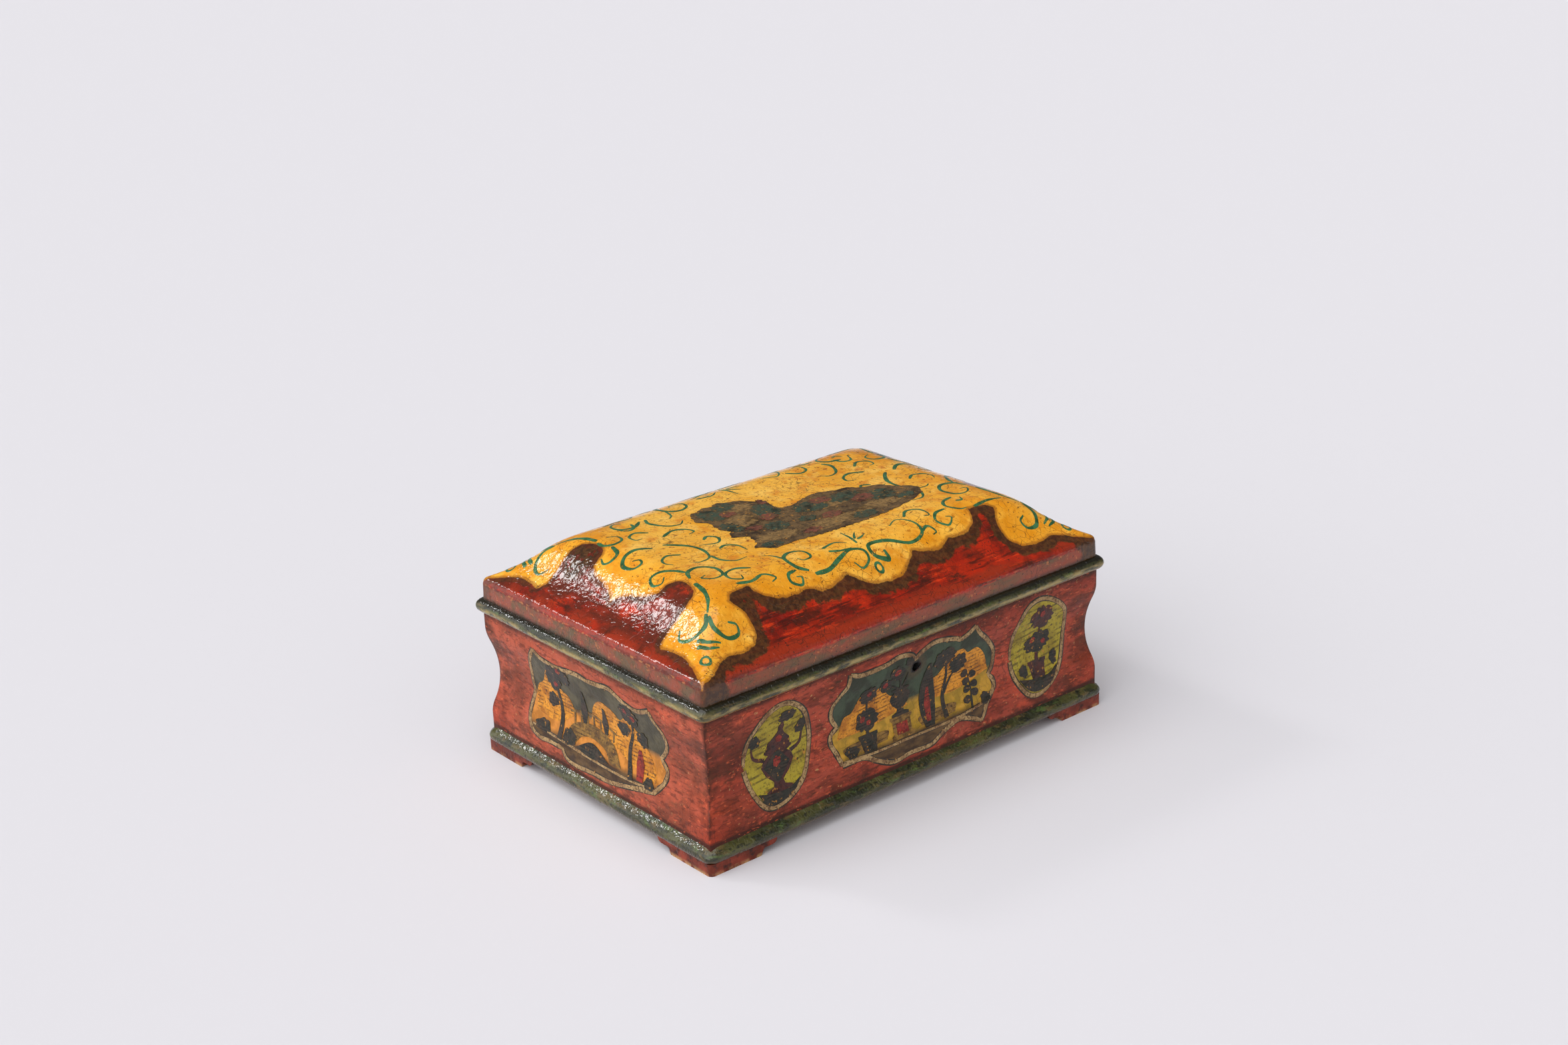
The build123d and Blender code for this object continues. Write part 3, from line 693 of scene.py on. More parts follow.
def signed_distance(points, outline):
    """Distance of each point from a closed outline, positive inside."""
    starts, ends = outline, np.roll(outline, -1, axis=0)
    nearest = np.full(len(points), 1e9)
    inside = np.zeros(len(points), bool)
    for a, b in zip(starts, ends):
        run = b - a
        length = run @ run
        if length < 1e-9:
            continue
        t = np.clip(((points - a) @ run) / length, 0, 1)
        nearest = np.minimum(nearest, ((points - a - t[:, None] * run) ** 2).sum(axis=1))
        spans = (a[1] > points[:, 1]) != (b[1] > points[:, 1])
        if abs(run[1]) > 1e-9:
            inside ^= spans & (points[:, 0] < a[0] + (points[:, 1] - a[1]) * run[0] / run[1])
    return np.where(inside, 1, -1) * np.sqrt(nearest)


def drawn_by_hand(points):
    """Shifts points by the unevenness of a hand-drawn pattern; the right notch lies further in."""
    x, y = points[:, 0], points[:, 1]
    right = np.exp(-(((x - 86) / 22) ** 2)) * 7
    return np.column_stack([x + right + 0.8 * np.sin(y / 15 + 1), y + 0.7 * np.sin(x / 19 + 0.5) * (y > 0)])


def worn_corner(points, half_length, half_depth, radius):
    """Rounds the four upright corners in plan: squares round a corner's centre become circles."""
    along = np.abs(points[:, 0]) - (half_length - radius)
    across = np.abs(points[:, 1]) - (half_depth - radius)
    near = (along > 0) & (across > 0)
    along, across = np.where(near, along, 1.0), np.where(near, across, 1.0)
    pull = np.where(near, np.maximum(along, across) / np.hypot(along, across), 1.0)
    rounded = points.copy()
    x = np.sign(points[:, 0]) * (half_length - radius + along * pull)
    y = np.sign(points[:, 1]) * (half_depth - radius + across * pull)
    rounded[:, 0] = np.where(near, x, points[:, 0])
    rounded[:, 1] = np.where(near, y, points[:, 1])
    return rounded


def cut_away(piece, low, high, round_bar=False):
    """Cuts a block between two corners in mm out of a piece, or a bar along X that fills it."""
    middle = [(a + b) / 2 * MM for a, b in zip(low, high)]
    size = [(b - a) * MM for a, b in zip(low, high)]
    if round_bar:
        block = start(
            bpy.ops.mesh.primitive_cylinder_add, "cutter", vertices=24, radius=size[2] / 2, depth=size[0],
            location=middle, rotation=(0, math.pi / 2, 0),
        )
    else:
        block = start(bpy.ops.mesh.primitive_cube_add, "cutter", size=1, location=middle)
        block.scale = size
    cut_out(piece, block)


def cut_hinge_room(piece):
    """The room for both hinges: the leaves let into the rims and the barrel between them."""
    for side in ("left", "right"):
        low, high = [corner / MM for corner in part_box(f"{side}_hinge_lid_leaf")]
        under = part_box(f"{side}_hinge_carcass_leaf")[0].z / MM
        axis_y, axis_z = hinge_axis
        cut_away(
            piece, (low.x - leaf_gap, low.y - leaf_gap, max(under, axis_z - leaf_room_below)),
            (high.x + leaf_gap, axis_y + 1, axis_z + leaf_room_above),
        )
        cut_away(piece, (low.x - leaf_gap, axis_y - barrel_room, axis_z - barrel_room),
                 (high.x + leaf_gap, axis_y + barrel_room, axis_z + barrel_room), round_bar=True)


def ring_step(scale, rise):
    """Extrudes the selected ring of edges, scales it in plan and lifts it by a rise in mm."""
    bpy.ops.mesh.extrude_edges_move()
    bpy.ops.transform.resize(value=(scale[0], scale[1], 1), center_override=(0, 0, 0))
    bpy.ops.transform.translate(value=(0, 0, rise * MM))


def make_lid_shell():
    """The whole lid under its mouldings as one skin: slopes, fascia, rim and the hollow inside."""
    cells_along, cells_across = 240, 172
    lid = start(bpy.ops.mesh.primitive_grid_add, "lid_shell",
                x_subdivisions=cells_along, y_subdivisions=cells_across, size=2)
    plan = coordinates(lid) * MM
    finer_ends = 0.4
    plan = plan - finer_ends * np.sin(2 * math.pi * plan) / (2 * math.pi)
    x, y = plan[:, 0] * arris_half_length, plan[:, 1] * arris_half_depth
    place_vertices(lid, np.column_stack([x, y, lid_height(x, y)]))
    lid.data.materials.append(amber_and_red)
    lid.data.materials.append(old_pine)
    lid.data.materials.append(old_end_pine)

    def at_arris(middle, edge):
        across, along = abs(middle.x) - arris_half_length, abs(middle.y) - arris_half_depth
        return abs(across) < 0.01 or abs(along) < 0.01

    def on_bare_wood(middle, face):
        within = max(abs(middle.x) - lid_inner_half_length, abs(middle.y) - lid_inner_half_depth) < 0.01
        below = middle.z < lid_height(middle.x, middle.y) - 3
        return middle.z < lid_rim_level + 0.01 or (within and below)

    def inside_ends(middle, face):
        faces_end = abs(middle.x) / lid_foot_half_length > abs(middle.y) / lid_foot_half_depth
        beyond_ledge = abs(middle.x) > lid_ledge_half_length - 0.01
        below = middle.z < lid_board_underside - 0.01
        return face.material_index == 1 and below and faces_end and beyond_ledge

    choose(lid, "EDGE", at_arris)
    step_out = fascia_lean / fascia_rings
    for part in range(fascia_rings):
        lean_x = 1 + step_out / (arris_half_length + step_out * part)
        lean_y = 1 + step_out / (arris_half_depth + step_out * part)
        ring_step((lean_x, lean_y), -(arris_level - lid_rim_level) / fascia_rings)
    inner = (lid_inner_half_length / lid_foot_half_length, lid_inner_half_depth / lid_foot_half_depth)
    ring_step(inner, 0)
    ring_step((1, 1), lid_shoulder_level - lid_rim_level)
    ledge = (lid_ledge_half_length / lid_inner_half_length, lid_ledge_half_depth / lid_inner_half_depth)
    ring_step(ledge, lid_ledge_level - lid_shoulder_level)
    ring_step((1, 1), lid_board_underside - lid_ledge_level)
    bpy.ops.mesh.edge_face_add()
    choose(lid, "FACE", on_bare_wood)
    lid.active_material_index = 1
    bpy.ops.object.material_slot_assign()
    choose(lid, "FACE", inside_ends)
    lid.active_material_index = 2
    bpy.ops.object.material_slot_assign()
    bpy.ops.object.mode_set(mode="OBJECT")
    points = coordinates(lid)
    leaning = np.clip((points[:, 2] - lid_rim_level) / (arris_level - lid_rim_level), 0, 1)
    half_length = lid_foot_half_length - fascia_lean * leaning
    half_depth = lid_foot_half_depth - fascia_lean * leaning
    place_vertices(lid, worn_corner(points, half_length, half_depth, lid_corner_radius))
    cut_hinge_room(lid)
    low, high = [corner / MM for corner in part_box("staple")]
    cut_away(lid, (low.x - 0.1, low.y - 0.1, lid_rim_level - 1), (high.x + 0.1, high.y + 0.1, high.z + 0.05))
    return lid


lid_shell = make_lid_shell()
plan_points = coordinates(lid_shell)[:, :2]
field_distance = signed_distance(drawn_by_hand(plan_points), field_outline())
field_attribute = lid_shell.data.attributes.new("field", "FLOAT", "POINT")
field_attribute.data.foreach_set("value", field_distance.astype(np.float32))
finish_piece(lid_shell, "lid", "amber_and_red_lacquered_lid",
             replaced=("lid_front", "lid_back", "lid_left", "lid_right", "lid_top"), smooth=50)


# Carcass skin

def cove(level):
    """How far the wall's face is hollowed at a level."""
    half = (cove_head_level - cove_foot_level) / 2
    radius = (half**2 + cove_depth**2) / (2 * cove_depth)
    above = np.clip(np.abs(level - (cove_head_level + cove_foot_level) / 2), 0, half)
    return np.sqrt(radius**2 - above**2) - (radius - cove_depth)


def eased_cove(level):
    """The cove with its two meetings with the flats rounded off."""
    nearby = np.linspace(-4, 4, 9)
    return np.mean([cove(level + step) for step in nearby], axis=0)


skin_thickness = 0.3


def hand_wave(share, level):
    """Unevenness of a face, by the share of its half run and the level, gone at the corners."""
    wave = 0.10 * np.sin(share * 7 + level / 9) + 0.08 * np.sin(share * 4 - level / 13 + 2)
    return wave * (1 - share**6)


def wall_reach(half, level):
    """How far the paint lies from the middle of the box, without the hand's unevenness."""
    return half - eased_cove(level) + skin_thickness


# Each of these takes a face's run u, level v and height w over the paint to the box's frame, in mm.
# The right end counts its run from the other side, so that it repeats the left end's view.

def on_front(u, v, w):
    wave = hand_wave(u / wall_reach(wall_half_length, v), v)
    return np.column_stack([u, -(wall_reach(wall_half_depth, v) + wave + w), v])


def on_left(u, v, w):
    wave = hand_wave(u / wall_reach(wall_half_depth, v), v)
    return np.column_stack([-(wall_reach(wall_half_length, v) + wave + w), u, v])


def on_right(u, v, w):
    wave = hand_wave(-u / wall_reach(wall_half_depth, v), v)
    return np.column_stack([wall_reach(wall_half_length, v) + wave + w, -u, v])


def make_carcass_skin():
    """The gesso and paint on the four walls, a ring with the walls' cove."""
    skin = start(bpy.ops.mesh.primitive_cube_add, "carcass_skin", size=2)
    choose(skin, "FACE", lambda middle, face: abs(middle.z) > abs(middle.x) + abs(middle.y))
    bpy.ops.mesh.delete(type="FACE")
    bpy.ops.mesh.select_all(action="SELECT")
    bpy.ops.mesh.subdivide(number_cuts=60)
    bpy.ops.object.mode_set(mode="OBJECT")
    points = coordinates(skin) * MM
    skin_foot = base_head_level - 4
    level = skin_foot + (points[:, 2] + 1) / 2 * (rim_level - skin_foot)
    at_end = np.abs(points[:, 0]) > 0.9999
    at_front = np.abs(points[:, 1]) > 0.9999
    reach_x = wall_reach(wall_half_length, level) + at_end * hand_wave(points[:, 1], level)
    reach_y = wall_reach(wall_half_depth, level) + at_front * hand_wave(points[:, 0], level)
    place_vertices(skin, np.column_stack([points[:, 0] * reach_x, points[:, 1] * reach_y, level]))

    def up_a_corner(middle, edge):
        first, second = (skin.data.vertices[end].co for end in edge.vertices)
        off = max(abs(abs(middle.x) - wall_half_length), abs(abs(middle.y) - wall_half_depth))
        return off < 6 and abs((first - second).z) > 0.5 * MM

    choose(skin, "EDGE", up_a_corner)
    bpy.ops.mesh.bevel(offset=0.8 * MM, segments=3)
    bpy.ops.mesh.select_all(action="SELECT")
    bpy.ops.mesh.remove_doubles(threshold=1e-6)
    bpy.ops.mesh.normals_make_consistent(inside=False)
    bpy.ops.object.mode_set(mode="OBJECT")
    thick = skin.modifiers.new("thickness", "SOLIDIFY")
    thick.thickness = 1.2 * MM
    thick.offset = -1
    bpy.ops.object.modifier_apply(modifier=thick.name)

    hole = start(
        bpy.ops.mesh.primitive_cylinder_add, "keyhole_cutter", vertices=14, radius=2.9 * MM, depth=16 * MM,
        location=(keyhole_x * MM, -wall_half_depth * MM, keyhole_level * MM), rotation=(math.pi / 2, 0, 0),
    )
    bpy.ops.object.transform_apply()
    torn = coordinates(hole)
    tear = 1 + 0.16 * np.sin(torn[:, 0] * 2.9 + torn[:, 2] * 1.7)
    torn[:, 0] = keyhole_x + (torn[:, 0] - keyhole_x) * tear
    torn[:, 2] = keyhole_level + (torn[:, 2] - keyhole_level) * tear
    place_vertices(hole, torn)
    cut_out(skin, hole)
    cut_hinge_room(skin)
    return skin


carcass_skin = make_carcass_skin()
finish_piece(carcass_skin, "box", "red_lacquered_wood", brick_red, smooth=45)


# Mouldings: each a hand-planed ring with worn mitres

def make_moulding_ring(name, half_length, half_depth, section, corner_radius, tremble):
    """A closed ring swept round the box from a section of (out, level) pairs, in mm."""
    ring = start(bpy.ops.mesh.primitive_plane_add, name, size=2)
    edit_all()
    bpy.ops.mesh.delete(type="ONLY_FACE")
    bpy.ops.mesh.select_all(action="SELECT")
    bpy.ops.mesh.subdivide(number_cuts=120)
    bpy.ops.object.mode_set(mode="OBJECT")
    plan = coordinates(ring) * MM
    finer_corners = 0.85
    plan = plan - finer_corners * np.sin(2 * math.pi * plan) / (2 * math.pi)
    plan[:, 2] = 0
    first_out, first_level = section[0]
    place_vertices(ring, plan * (half_length + first_out, half_depth + first_out, 1) + (0, 0, first_level))
    edit_all()
    for (out_a, level_a), (out_b, level_b) in zip(section, section[1:]):
        wider = (half_length + out_b) / (half_length + out_a)
        deeper = (half_depth + out_b) / (half_depth + out_a)
        ring_step((wider, deeper), level_b - level_a)
    choose(ring, "EDGE", lambda middle, edge: False)
    bpy.ops.mesh.select_non_manifold()
    bpy.ops.mesh.bridge_edge_loops()
    bpy.ops.object.mode_set(mode="OBJECT")

    points = coordinates(ring)
    outs = np.maximum(np.abs(points[:, 0]) - half_length, np.abs(points[:, 1]) - half_depth)
    points = worn_corner(points, half_length + outs, half_depth + outs, corner_radius)
    around = np.where(
        np.abs(points[:, 0]) - half_length > np.abs(points[:, 1]) - half_depth, points[:, 1], points[:, 0],
    )
    knife = 0.5 + 0.5 * np.sin(around / 9.0 + points[:, 2] * 0.6) * np.sin(around / 23.0 + 1.3)
    inward = tremble * knife * np.clip(outs - section[0][0], 0, 1)
    points[:, 0] -= np.sign(points[:, 0]) * inward * (np.abs(points[:, 0]) / half_length > 0.98)
    points[:, 1] -= np.sign(points[:, 1]) * inward * (np.abs(points[:, 1]) / half_depth > 0.97)
    place_vertices(ring, points)
    return ring


# The lid moulding's half round, out from the foot of the fascia
half_round = [(-1.5, lid_rim_level + 0.1)]
half_round += [
    (3.86 * math.cos(turn) - 0.14 * (1 + math.sin(turn)), lid_rim_level + 4.05 + 4.04 * math.sin(turn))
    for turn in np.linspace(-1.45, 1.45, 12)
]
half_round += [(-1.5, lid_rim_level + 7.9)]
lid_ring = make_moulding_ring(
    "lid_moulding_ring", lid_foot_half_length, lid_foot_half_depth, half_round, corner_radius=4.0,
    tremble=0.22,
)
cut_hinge_room(lid_ring)
finish_piece(lid_ring, "lid", "green_lacquered_moulding", dark_green,
             replaced=[f"lid_{side}_moulding" for side in ("front", "back", "left", "right")], smooth=50)

# Underside, rounded nose and swelling top of the base moulding, out from the feet's plan
foot_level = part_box("front_base_moulding")[0].z / MM
quarter_round = [
    (-3.6, 0.0), (0.2, 0.0), (0.9, 0.5), (1.2, 1.5), (1.3, 2.8), (0.9, 4.1), (0.2, 5.2), (-0.8, 6.1),
    (-1.8, 7.0), (-2.7, 7.8), (-3.4, 8.4), (-3.6, 8.1),
]
quarter_round = [(out_by, foot_level + rise) for out_by, rise in quarter_round]
plinth_overhang = 3.0
foot_corner = (wall_half_length + plinth_overhang, wall_half_depth + plinth_overhang)
base_ring = make_moulding_ring(
    "base_moulding_ring", *foot_corner, quarter_round, corner_radius=6.5, tremble=0.3,
)
finish_piece(base_ring, "box", "green_lacquered_moulding", dark_green,
             replaced=[f"{side}_base_moulding" for side in ("front", "back", "left", "right")], smooth=50)


# Feet: two shaped brackets, mitred and glued, with a worn outer corner

bracket_outline = [
    (0, foot_level), (0, 0), (34, 0), (34.6, 0.6), (35.2, 2.2), (35.7, 3.4), (36.9, 3.9), (42.4, 3.9),
    (43.6, 4.2), (44.6, 4.9), (45.2, 5.9), (45.5, foot_level),
]
bracket_thickness = 12.0


def make_foot(name):
    """One foot in the corner of +X and +Y, from the outline of its two brackets."""
    halves = []
    for turned_over in (False, True):
        half = drawn(
            name, [bracket_outline], True, dimensions="2D", fill_mode="BOTH",
            extrude=bracket_thickness / 2 * MM,
        )
        along, level, depth = coordinates(half).T
        depth = depth - bracket_thickness / 2
        points = np.column_stack([-along, depth, level])
        place_vertices(half, points[:, (1, 0, 2)] if turned_over else points)
        edit_all()
        bpy.ops.mesh.remove_doubles(threshold=1e-6)
        bpy.ops.mesh.select_all(action="SELECT")
        bpy.ops.mesh.bisect(
            plane_co=(0, 0, 0), plane_no=(1, -1, 0), clear_outer=not turned_over, clear_inner=turned_over,
        )
        bpy.ops.object.mode_set(mode="OBJECT")
        halves.append(half)
    take(*halves)
    bpy.ops.object.join()
    foot = halves[0]
    foot.name = name
    edit_all()
    bpy.ops.mesh.remove_doubles(threshold=2e-5)
    bpy.ops.mesh.normals_make_consistent(inside=False)
    bpy.ops.mesh.dissolve_limited(angle_limit=0.02)
    bpy.ops.object.mode_set(mode="OBJECT")
    choose(foot, "EDGE", lambda middle, edge: abs(middle.x) < 0.01 and abs(middle.y) < 0.01)
    bpy.ops.mesh.bevel(offset=3.2 * MM, segments=8)
    bpy.ops.object.mode_set(mode="OBJECT")
    return foot


for across, side_x in ((-1, "left"), (1, "right")):
    for depth, side_y in ((-1, "front"), (1, "back")):
        foot = make_foot(f"{side_y}_{side_x}_worn_foot")
        points = coordinates(foot)
        points[:, 0] = across * (foot_corner[0] + points[:, 0])
        points[:, 1] = depth * (foot_corner[1] + points[:, 1])
        place_vertices(foot, points)
        finish_piece(
            foot, "box", "dark_red_lacquered_feet", dark_red,
            replaced=[f"{side_y}_{side_x}_foot_{part}_bracket" for part in ("long", "end")], smooth=10,
        )

# Finishes of the pieces that the construction already holds
for name, node in nodes.items():
    if node.hide_render:
        continue
    node.data.materials.clear()
    if name in ("left_wall", "right_wall"):
        node.data.materials.append(old_end_pine)
    else:
        node.data.materials.append(old_pine if name.endswith(("wall", "board")) else black_iron)


# Strokes of the brush on the lid: x and y in mm, from the blunt end to the thin one

left_end_strokes = [
    (2.8, 1, [(-104, 31), (-107, 22), (-113, 20), (-116, 23), (-114, 28)]),
    (2.5, 1, [(-106, 42), (-106, 36), (-101, 32), (-95, 34), (-94, 40), (-99, 43)]),
    (3.1, 1, [(-91, 11), (-98, 16), (-107, 15), (-113, 9), (-112, 1), (-107, 0), (-105, 4), (-108, 7)]),
    (2.8, 1, [(-84, 11), (-79, 6), (-74, -2), (-73, -12), (-77, -22), (-84, -24), (-88, -22)]),
    (2.2, 1, [(-86, -8), (-92, -4), (-98, -7), (-100, -12), (-98, -17)]),
    (2.5, 1, [(-100, -30), (-102, -24), (-107, -17), (-113, -16), (-116, -22), (-113, -26), (-109, -23)]),
    (2.8, 1, [
        (-103, -38), (-99, -31), (-91, -29), (-85, -36), (-87, -46), (-94, -48), (-99, -43), (-95, -41),
    ]),
    (2.2, 1, [(-63, 1), (-58, 4), (-55, -2), (-60, -8), (-70, -4)]),
    (2.2, 1, [(-65, -16), (-60, -14), (-55, -19), (-55, -28)]),
    (2.2, 1, [(-75, -21), (-75, -29), (-70, -36), (-62, -36)]),
    (2.5, 1, [(-76, 21), (-67, 25), (-60, 22), (-58, 16), (-63, 14)]),
    (2.5, 1, [(-67, 50), (-69, 43), (-64, 33), (-57, 30), (-52, 34)]),
    (2.2, 1, [(-78, 32), (-84, 37), (-90, 34), (-90, 28), (-86, 27)]),
    (2.2, 1, [(-77, 50), (-79, 44), (-85, 43), (-89, 51)]),
]
front_strokes = [
    (2.5, 1, [(-71, -50), (-78, -45), (-86, -47), (-88, -54), (-83, -58), (-81, -54)]),
    (2.8, 1, [
        (-45, -68), (-50, -63), (-50, -53), (-43, -48), (-36, -51), (-36, -59), (-42, -60), (-44, -57),
    ]),
    (1.7, 1, [(-50, -53), (-52, -45), (-56, -41)]),
    (2.2, 1, [(-52, -65), (-58, -66), (-60, -71), (-55, -74), (-52, -70), (-55, -69)]),
    (2.8, 1, [
        (-43, -71), (-33, -71), (-22, -67), (-12, -64), (-5, -67), (-6, -73), (-13, -76), (-16, -72),
    ]),
    (2.0, 1, [(-25, -56), (-15, -54), (-9, -58)]), (2.0, 1, [(-24, -60), (-17, -62.5), (-10, -63)]),
    (2.0, 1, [(-4, -61), (-3, -53), (-2, -45)]), (1.7, 1, [(-2, -57), (1, -53), (4, -50)]),
    (1.7, 1, [(-1, -58), (3, -57), (7, -55)]),
    (2.5, 1, [(-89, -60), (-80, -62), (-71, -60), (-66, -65), (-70, -67)]),
    (2.8, 1, [
        (7, -71), (6, -76), (-1, -72), (1, -65), (13, -66), (26, -72), (38, -69), (40, -60), (34, -52),
        (25, -56),
    ]),
    (2.0, 1, [(39, -68), (45, -66), (47, -71), (44, -72)]),
    (2.2, 1, [(40, -52), (47, -46), (54, -49), (54, -58), (50, -58)]),
    (2.2, 1, [(66, -58), (58, -59), (53, -65), (58, -70), (64, -66), (61, -64)]),
    (2.5, 1, [(81, -48), (73, -50), (69, -56), (74, -62), (79, -63)]),
    (2.0, 1, [(79, -54), (83, -55), (85, -51)]), (2.5, 1, [(84, -64), (95, -63), (106, -64)]),
]
tab_strokes = [
    (3.1, 1, [(-104.8, -44.4), (-106.5, -54), (-110, -62), (-116, -69)]),
    (2.8, 1, [(-117, -69), (-122, -74), (-129, -72), (-132, -65), (-128, -60)]),
    (2.8, 1, [(-117, -71), (-119, -78), (-115, -84), (-108, -84), (-106, -80), (-110, -78)]),
    (2.5, 1, [(-128.9, -75.7), (-126.5, -81.5), (-120.3, -84.9)]),
    (2.5, 1, [(-131.4, -78.7), (-128.5, -84.5), (-122.6, -86.6)]),
]
tab_ring = (-134.3, -89.5)
pendant_ring = (-3, -78)


def ring_of(centre, radius):
    turns = np.linspace(0, 2 * math.pi, 9)
    return [(centre[0] + radius * math.cos(t), centre[1] + radius * math.sin(t)) for t in turns]


def lay_strokes(name, strokes, surface, material, body, slot, lift=0.03, flat=0.13, spread=1.0):
    """Brush strokes as one piece: round at the loaded end, thin at the dry one, flat on a surface.

    A stroke is its width, its dryness from 0, even, to 1, and the points that it passes.
    """
    lines, widths = [], []
    for width, dry, points in strokes:
        line = smooth_line(points, 1.0)
        run = np.linspace(0, 1, len(line))
        load = np.where(run < 0.08, 0.6 + 0.4 * run / 0.08, 1.0) * (1 + dry * (0.15 - 0.8 * run**2))
        load = load * (1 + 0.1 * np.sin(run * 19 + points[0][0]))
        lines.append(line)
        widths.append((width * load * spread).astype(np.float32))
    piece = drawn(
        name, lines, False, widths, dimensions="3D", bevel_depth=0.5 * MM, bevel_resolution=1,
        use_fill_caps=True,
    )
    points = coordinates(piece)
    place_vertices(piece, surface(points[:, 0], points[:, 1], lift + points[:, 2] * flat))
    return finish_piece(piece, body, slot, material, smooth=60)


def on_lid(u, v, w):
    """The lid's plan u, v and height w over its paint in the box's frame, in mm."""
    return np.column_stack([u, v, lid_height(u, v) + w])


def mirrored(strokes, across_x, across_y):
    return [
        (width, dry, [(x * across_x, y * across_y) for x, y in points])
        for width, dry, points in strokes
    ]


near_left_tab = tab_strokes + [(1.9, 0, ring_of(tab_ring, 2.6))]
scrolls = left_end_strokes + front_strokes + near_left_tab
scrolls += [(1.8, 0, ring_of(pendant_ring, 2.2))]
scrolls += mirrored(left_end_strokes, -1, 1) + mirrored(front_strokes, 1, -1)
scrolls += mirrored(near_left_tab, -1, 1) + mirrored(near_left_tab, 1, -1) + mirrored(near_left_tab, -1, -1)
lay_strokes("lid_scrolls", scrolls, on_lid, scroll_green, "lid", "amber_and_red_lacquered_lid", spread=0.8)


# Printed paper, cut out, coloured and glued on: outlines are lists of points in mm on a face

paper_thickness = 0.1


def cut_paper(name, outlines, surface, material, body, slot, lift, folds=(7.0, 2.0)):
    """Cut-out paper as one piece, laid on a surface: an outline inside another is a hole."""
    piece = drawn(name, outlines, True, dimensions="2D", fill_mode="BOTH", extrude=paper_thickness / 2 * MM)
    edit_all()
    bpy.ops.mesh.remove_doubles(threshold=1e-6)
    all_points = np.vstack([np.array(outline) for outline in outlines])
    for axis, fold in enumerate(folds):
        for level in np.arange(all_points[:, axis].min() + fold, all_points[:, axis].max(), fold):
            bpy.ops.mesh.select_all(action="SELECT")
            place = (level * MM * (axis == 0), level * MM * (axis == 1), 0)
            bpy.ops.mesh.bisect(plane_co=place, plane_no=(axis == 0, axis == 1, 0))
    bpy.ops.object.mode_set(mode="OBJECT")
    points = coordinates(piece)
    heights = lift + paper_thickness / 2 + points[:, 2]
    place_vertices(piece, surface(points[:, 0], points[:, 1], heights))
    return finish_piece(piece, body, slot, material, smooth=30)


def joined(*stretches, step=1.0):
    """A closed outline from smooth stretches that meet in corners."""
    return np.vstack([smooth_line(stretch, step)[:-1] for stretch in stretches])


def lobed(u, v, half_width, half_height, lobes, seed=0.0, depth=0.16):
    """A closed outline of leafage or cloud: an ellipse with round lobes of uneven size."""
    turns = np.linspace(0, 2 * math.pi, lobes * 7, endpoint=False)
    uneven = turns + 0.25 * np.sin(3 * turns + seed)
    round_lobes = depth * 1.6 * np.abs(np.sin(uneven * lobes / 2 + seed))
    reach = 1 - depth + round_lobes + 0.06 * np.sin(2 * turns + seed * 3)
    return np.column_stack([u + half_width * reach * np.cos(turns), v + half_height * reach * np.sin(turns)])


def turned(u, foot, profile, lean=0.0):
    """A symmetrical outline from (half width, height) pairs, as of an urn or a pedestal."""
    right = np.array([(u + half + lean * height, foot + height) for half, height in profile])
    left = np.array([(u - half + lean * height, foot + height) for half, height in profile])[::-1]
    return np.vstack([right, left])


def stem(points, width):
    """A closed outline along a line, thinner towards its end, as of a trunk or a twig."""
    line = smooth_line(points, 2.0)
    run = np.gradient(line, axis=0)
    run /= np.linalg.norm(run, axis=1)[:, None]
    aside = np.column_stack([-run[:, 1], run[:, 0]]) * (width / 2 * np.linspace(1, 0.35, len(line)))[:, None]
    return np.vstack([line + aside, (line - aside)[::-1]])


def leaves_along(points, count, size):
    """Round leaves on both sides of a line."""
    line = smooth_line(points, 1.0)
    found = []
    for i in range(count):
        at = line[int((i + 1) / (count + 0.5) * (len(line) - 1))]
        side = 1 if i % 2 else -1
        found.append(
            lobed(at[0] + side * size * 1.05, at[1] + size * 0.3, size, size * 0.8, 3, i, 0.1),
        )
    return found


def shrunk(outline, margin):
    """An outline drawn in towards its middle by about a margin."""
    outline = np.array(outline, float)
    low, high = outline.min(axis=0), outline.max(axis=0)
    middle = (low + high) / 2
    return middle + (outline - middle) * (1 - 2 * margin / (high - low))


def inside_stretches(stretches, margin):
    """The same stretches drawn in together by about a margin."""
    lengths = np.cumsum([len(stretch) for stretch in stretches])[:-1]
    return np.split(shrunk(np.vstack([np.array(stretch) for stretch in stretches]), margin), lengths)


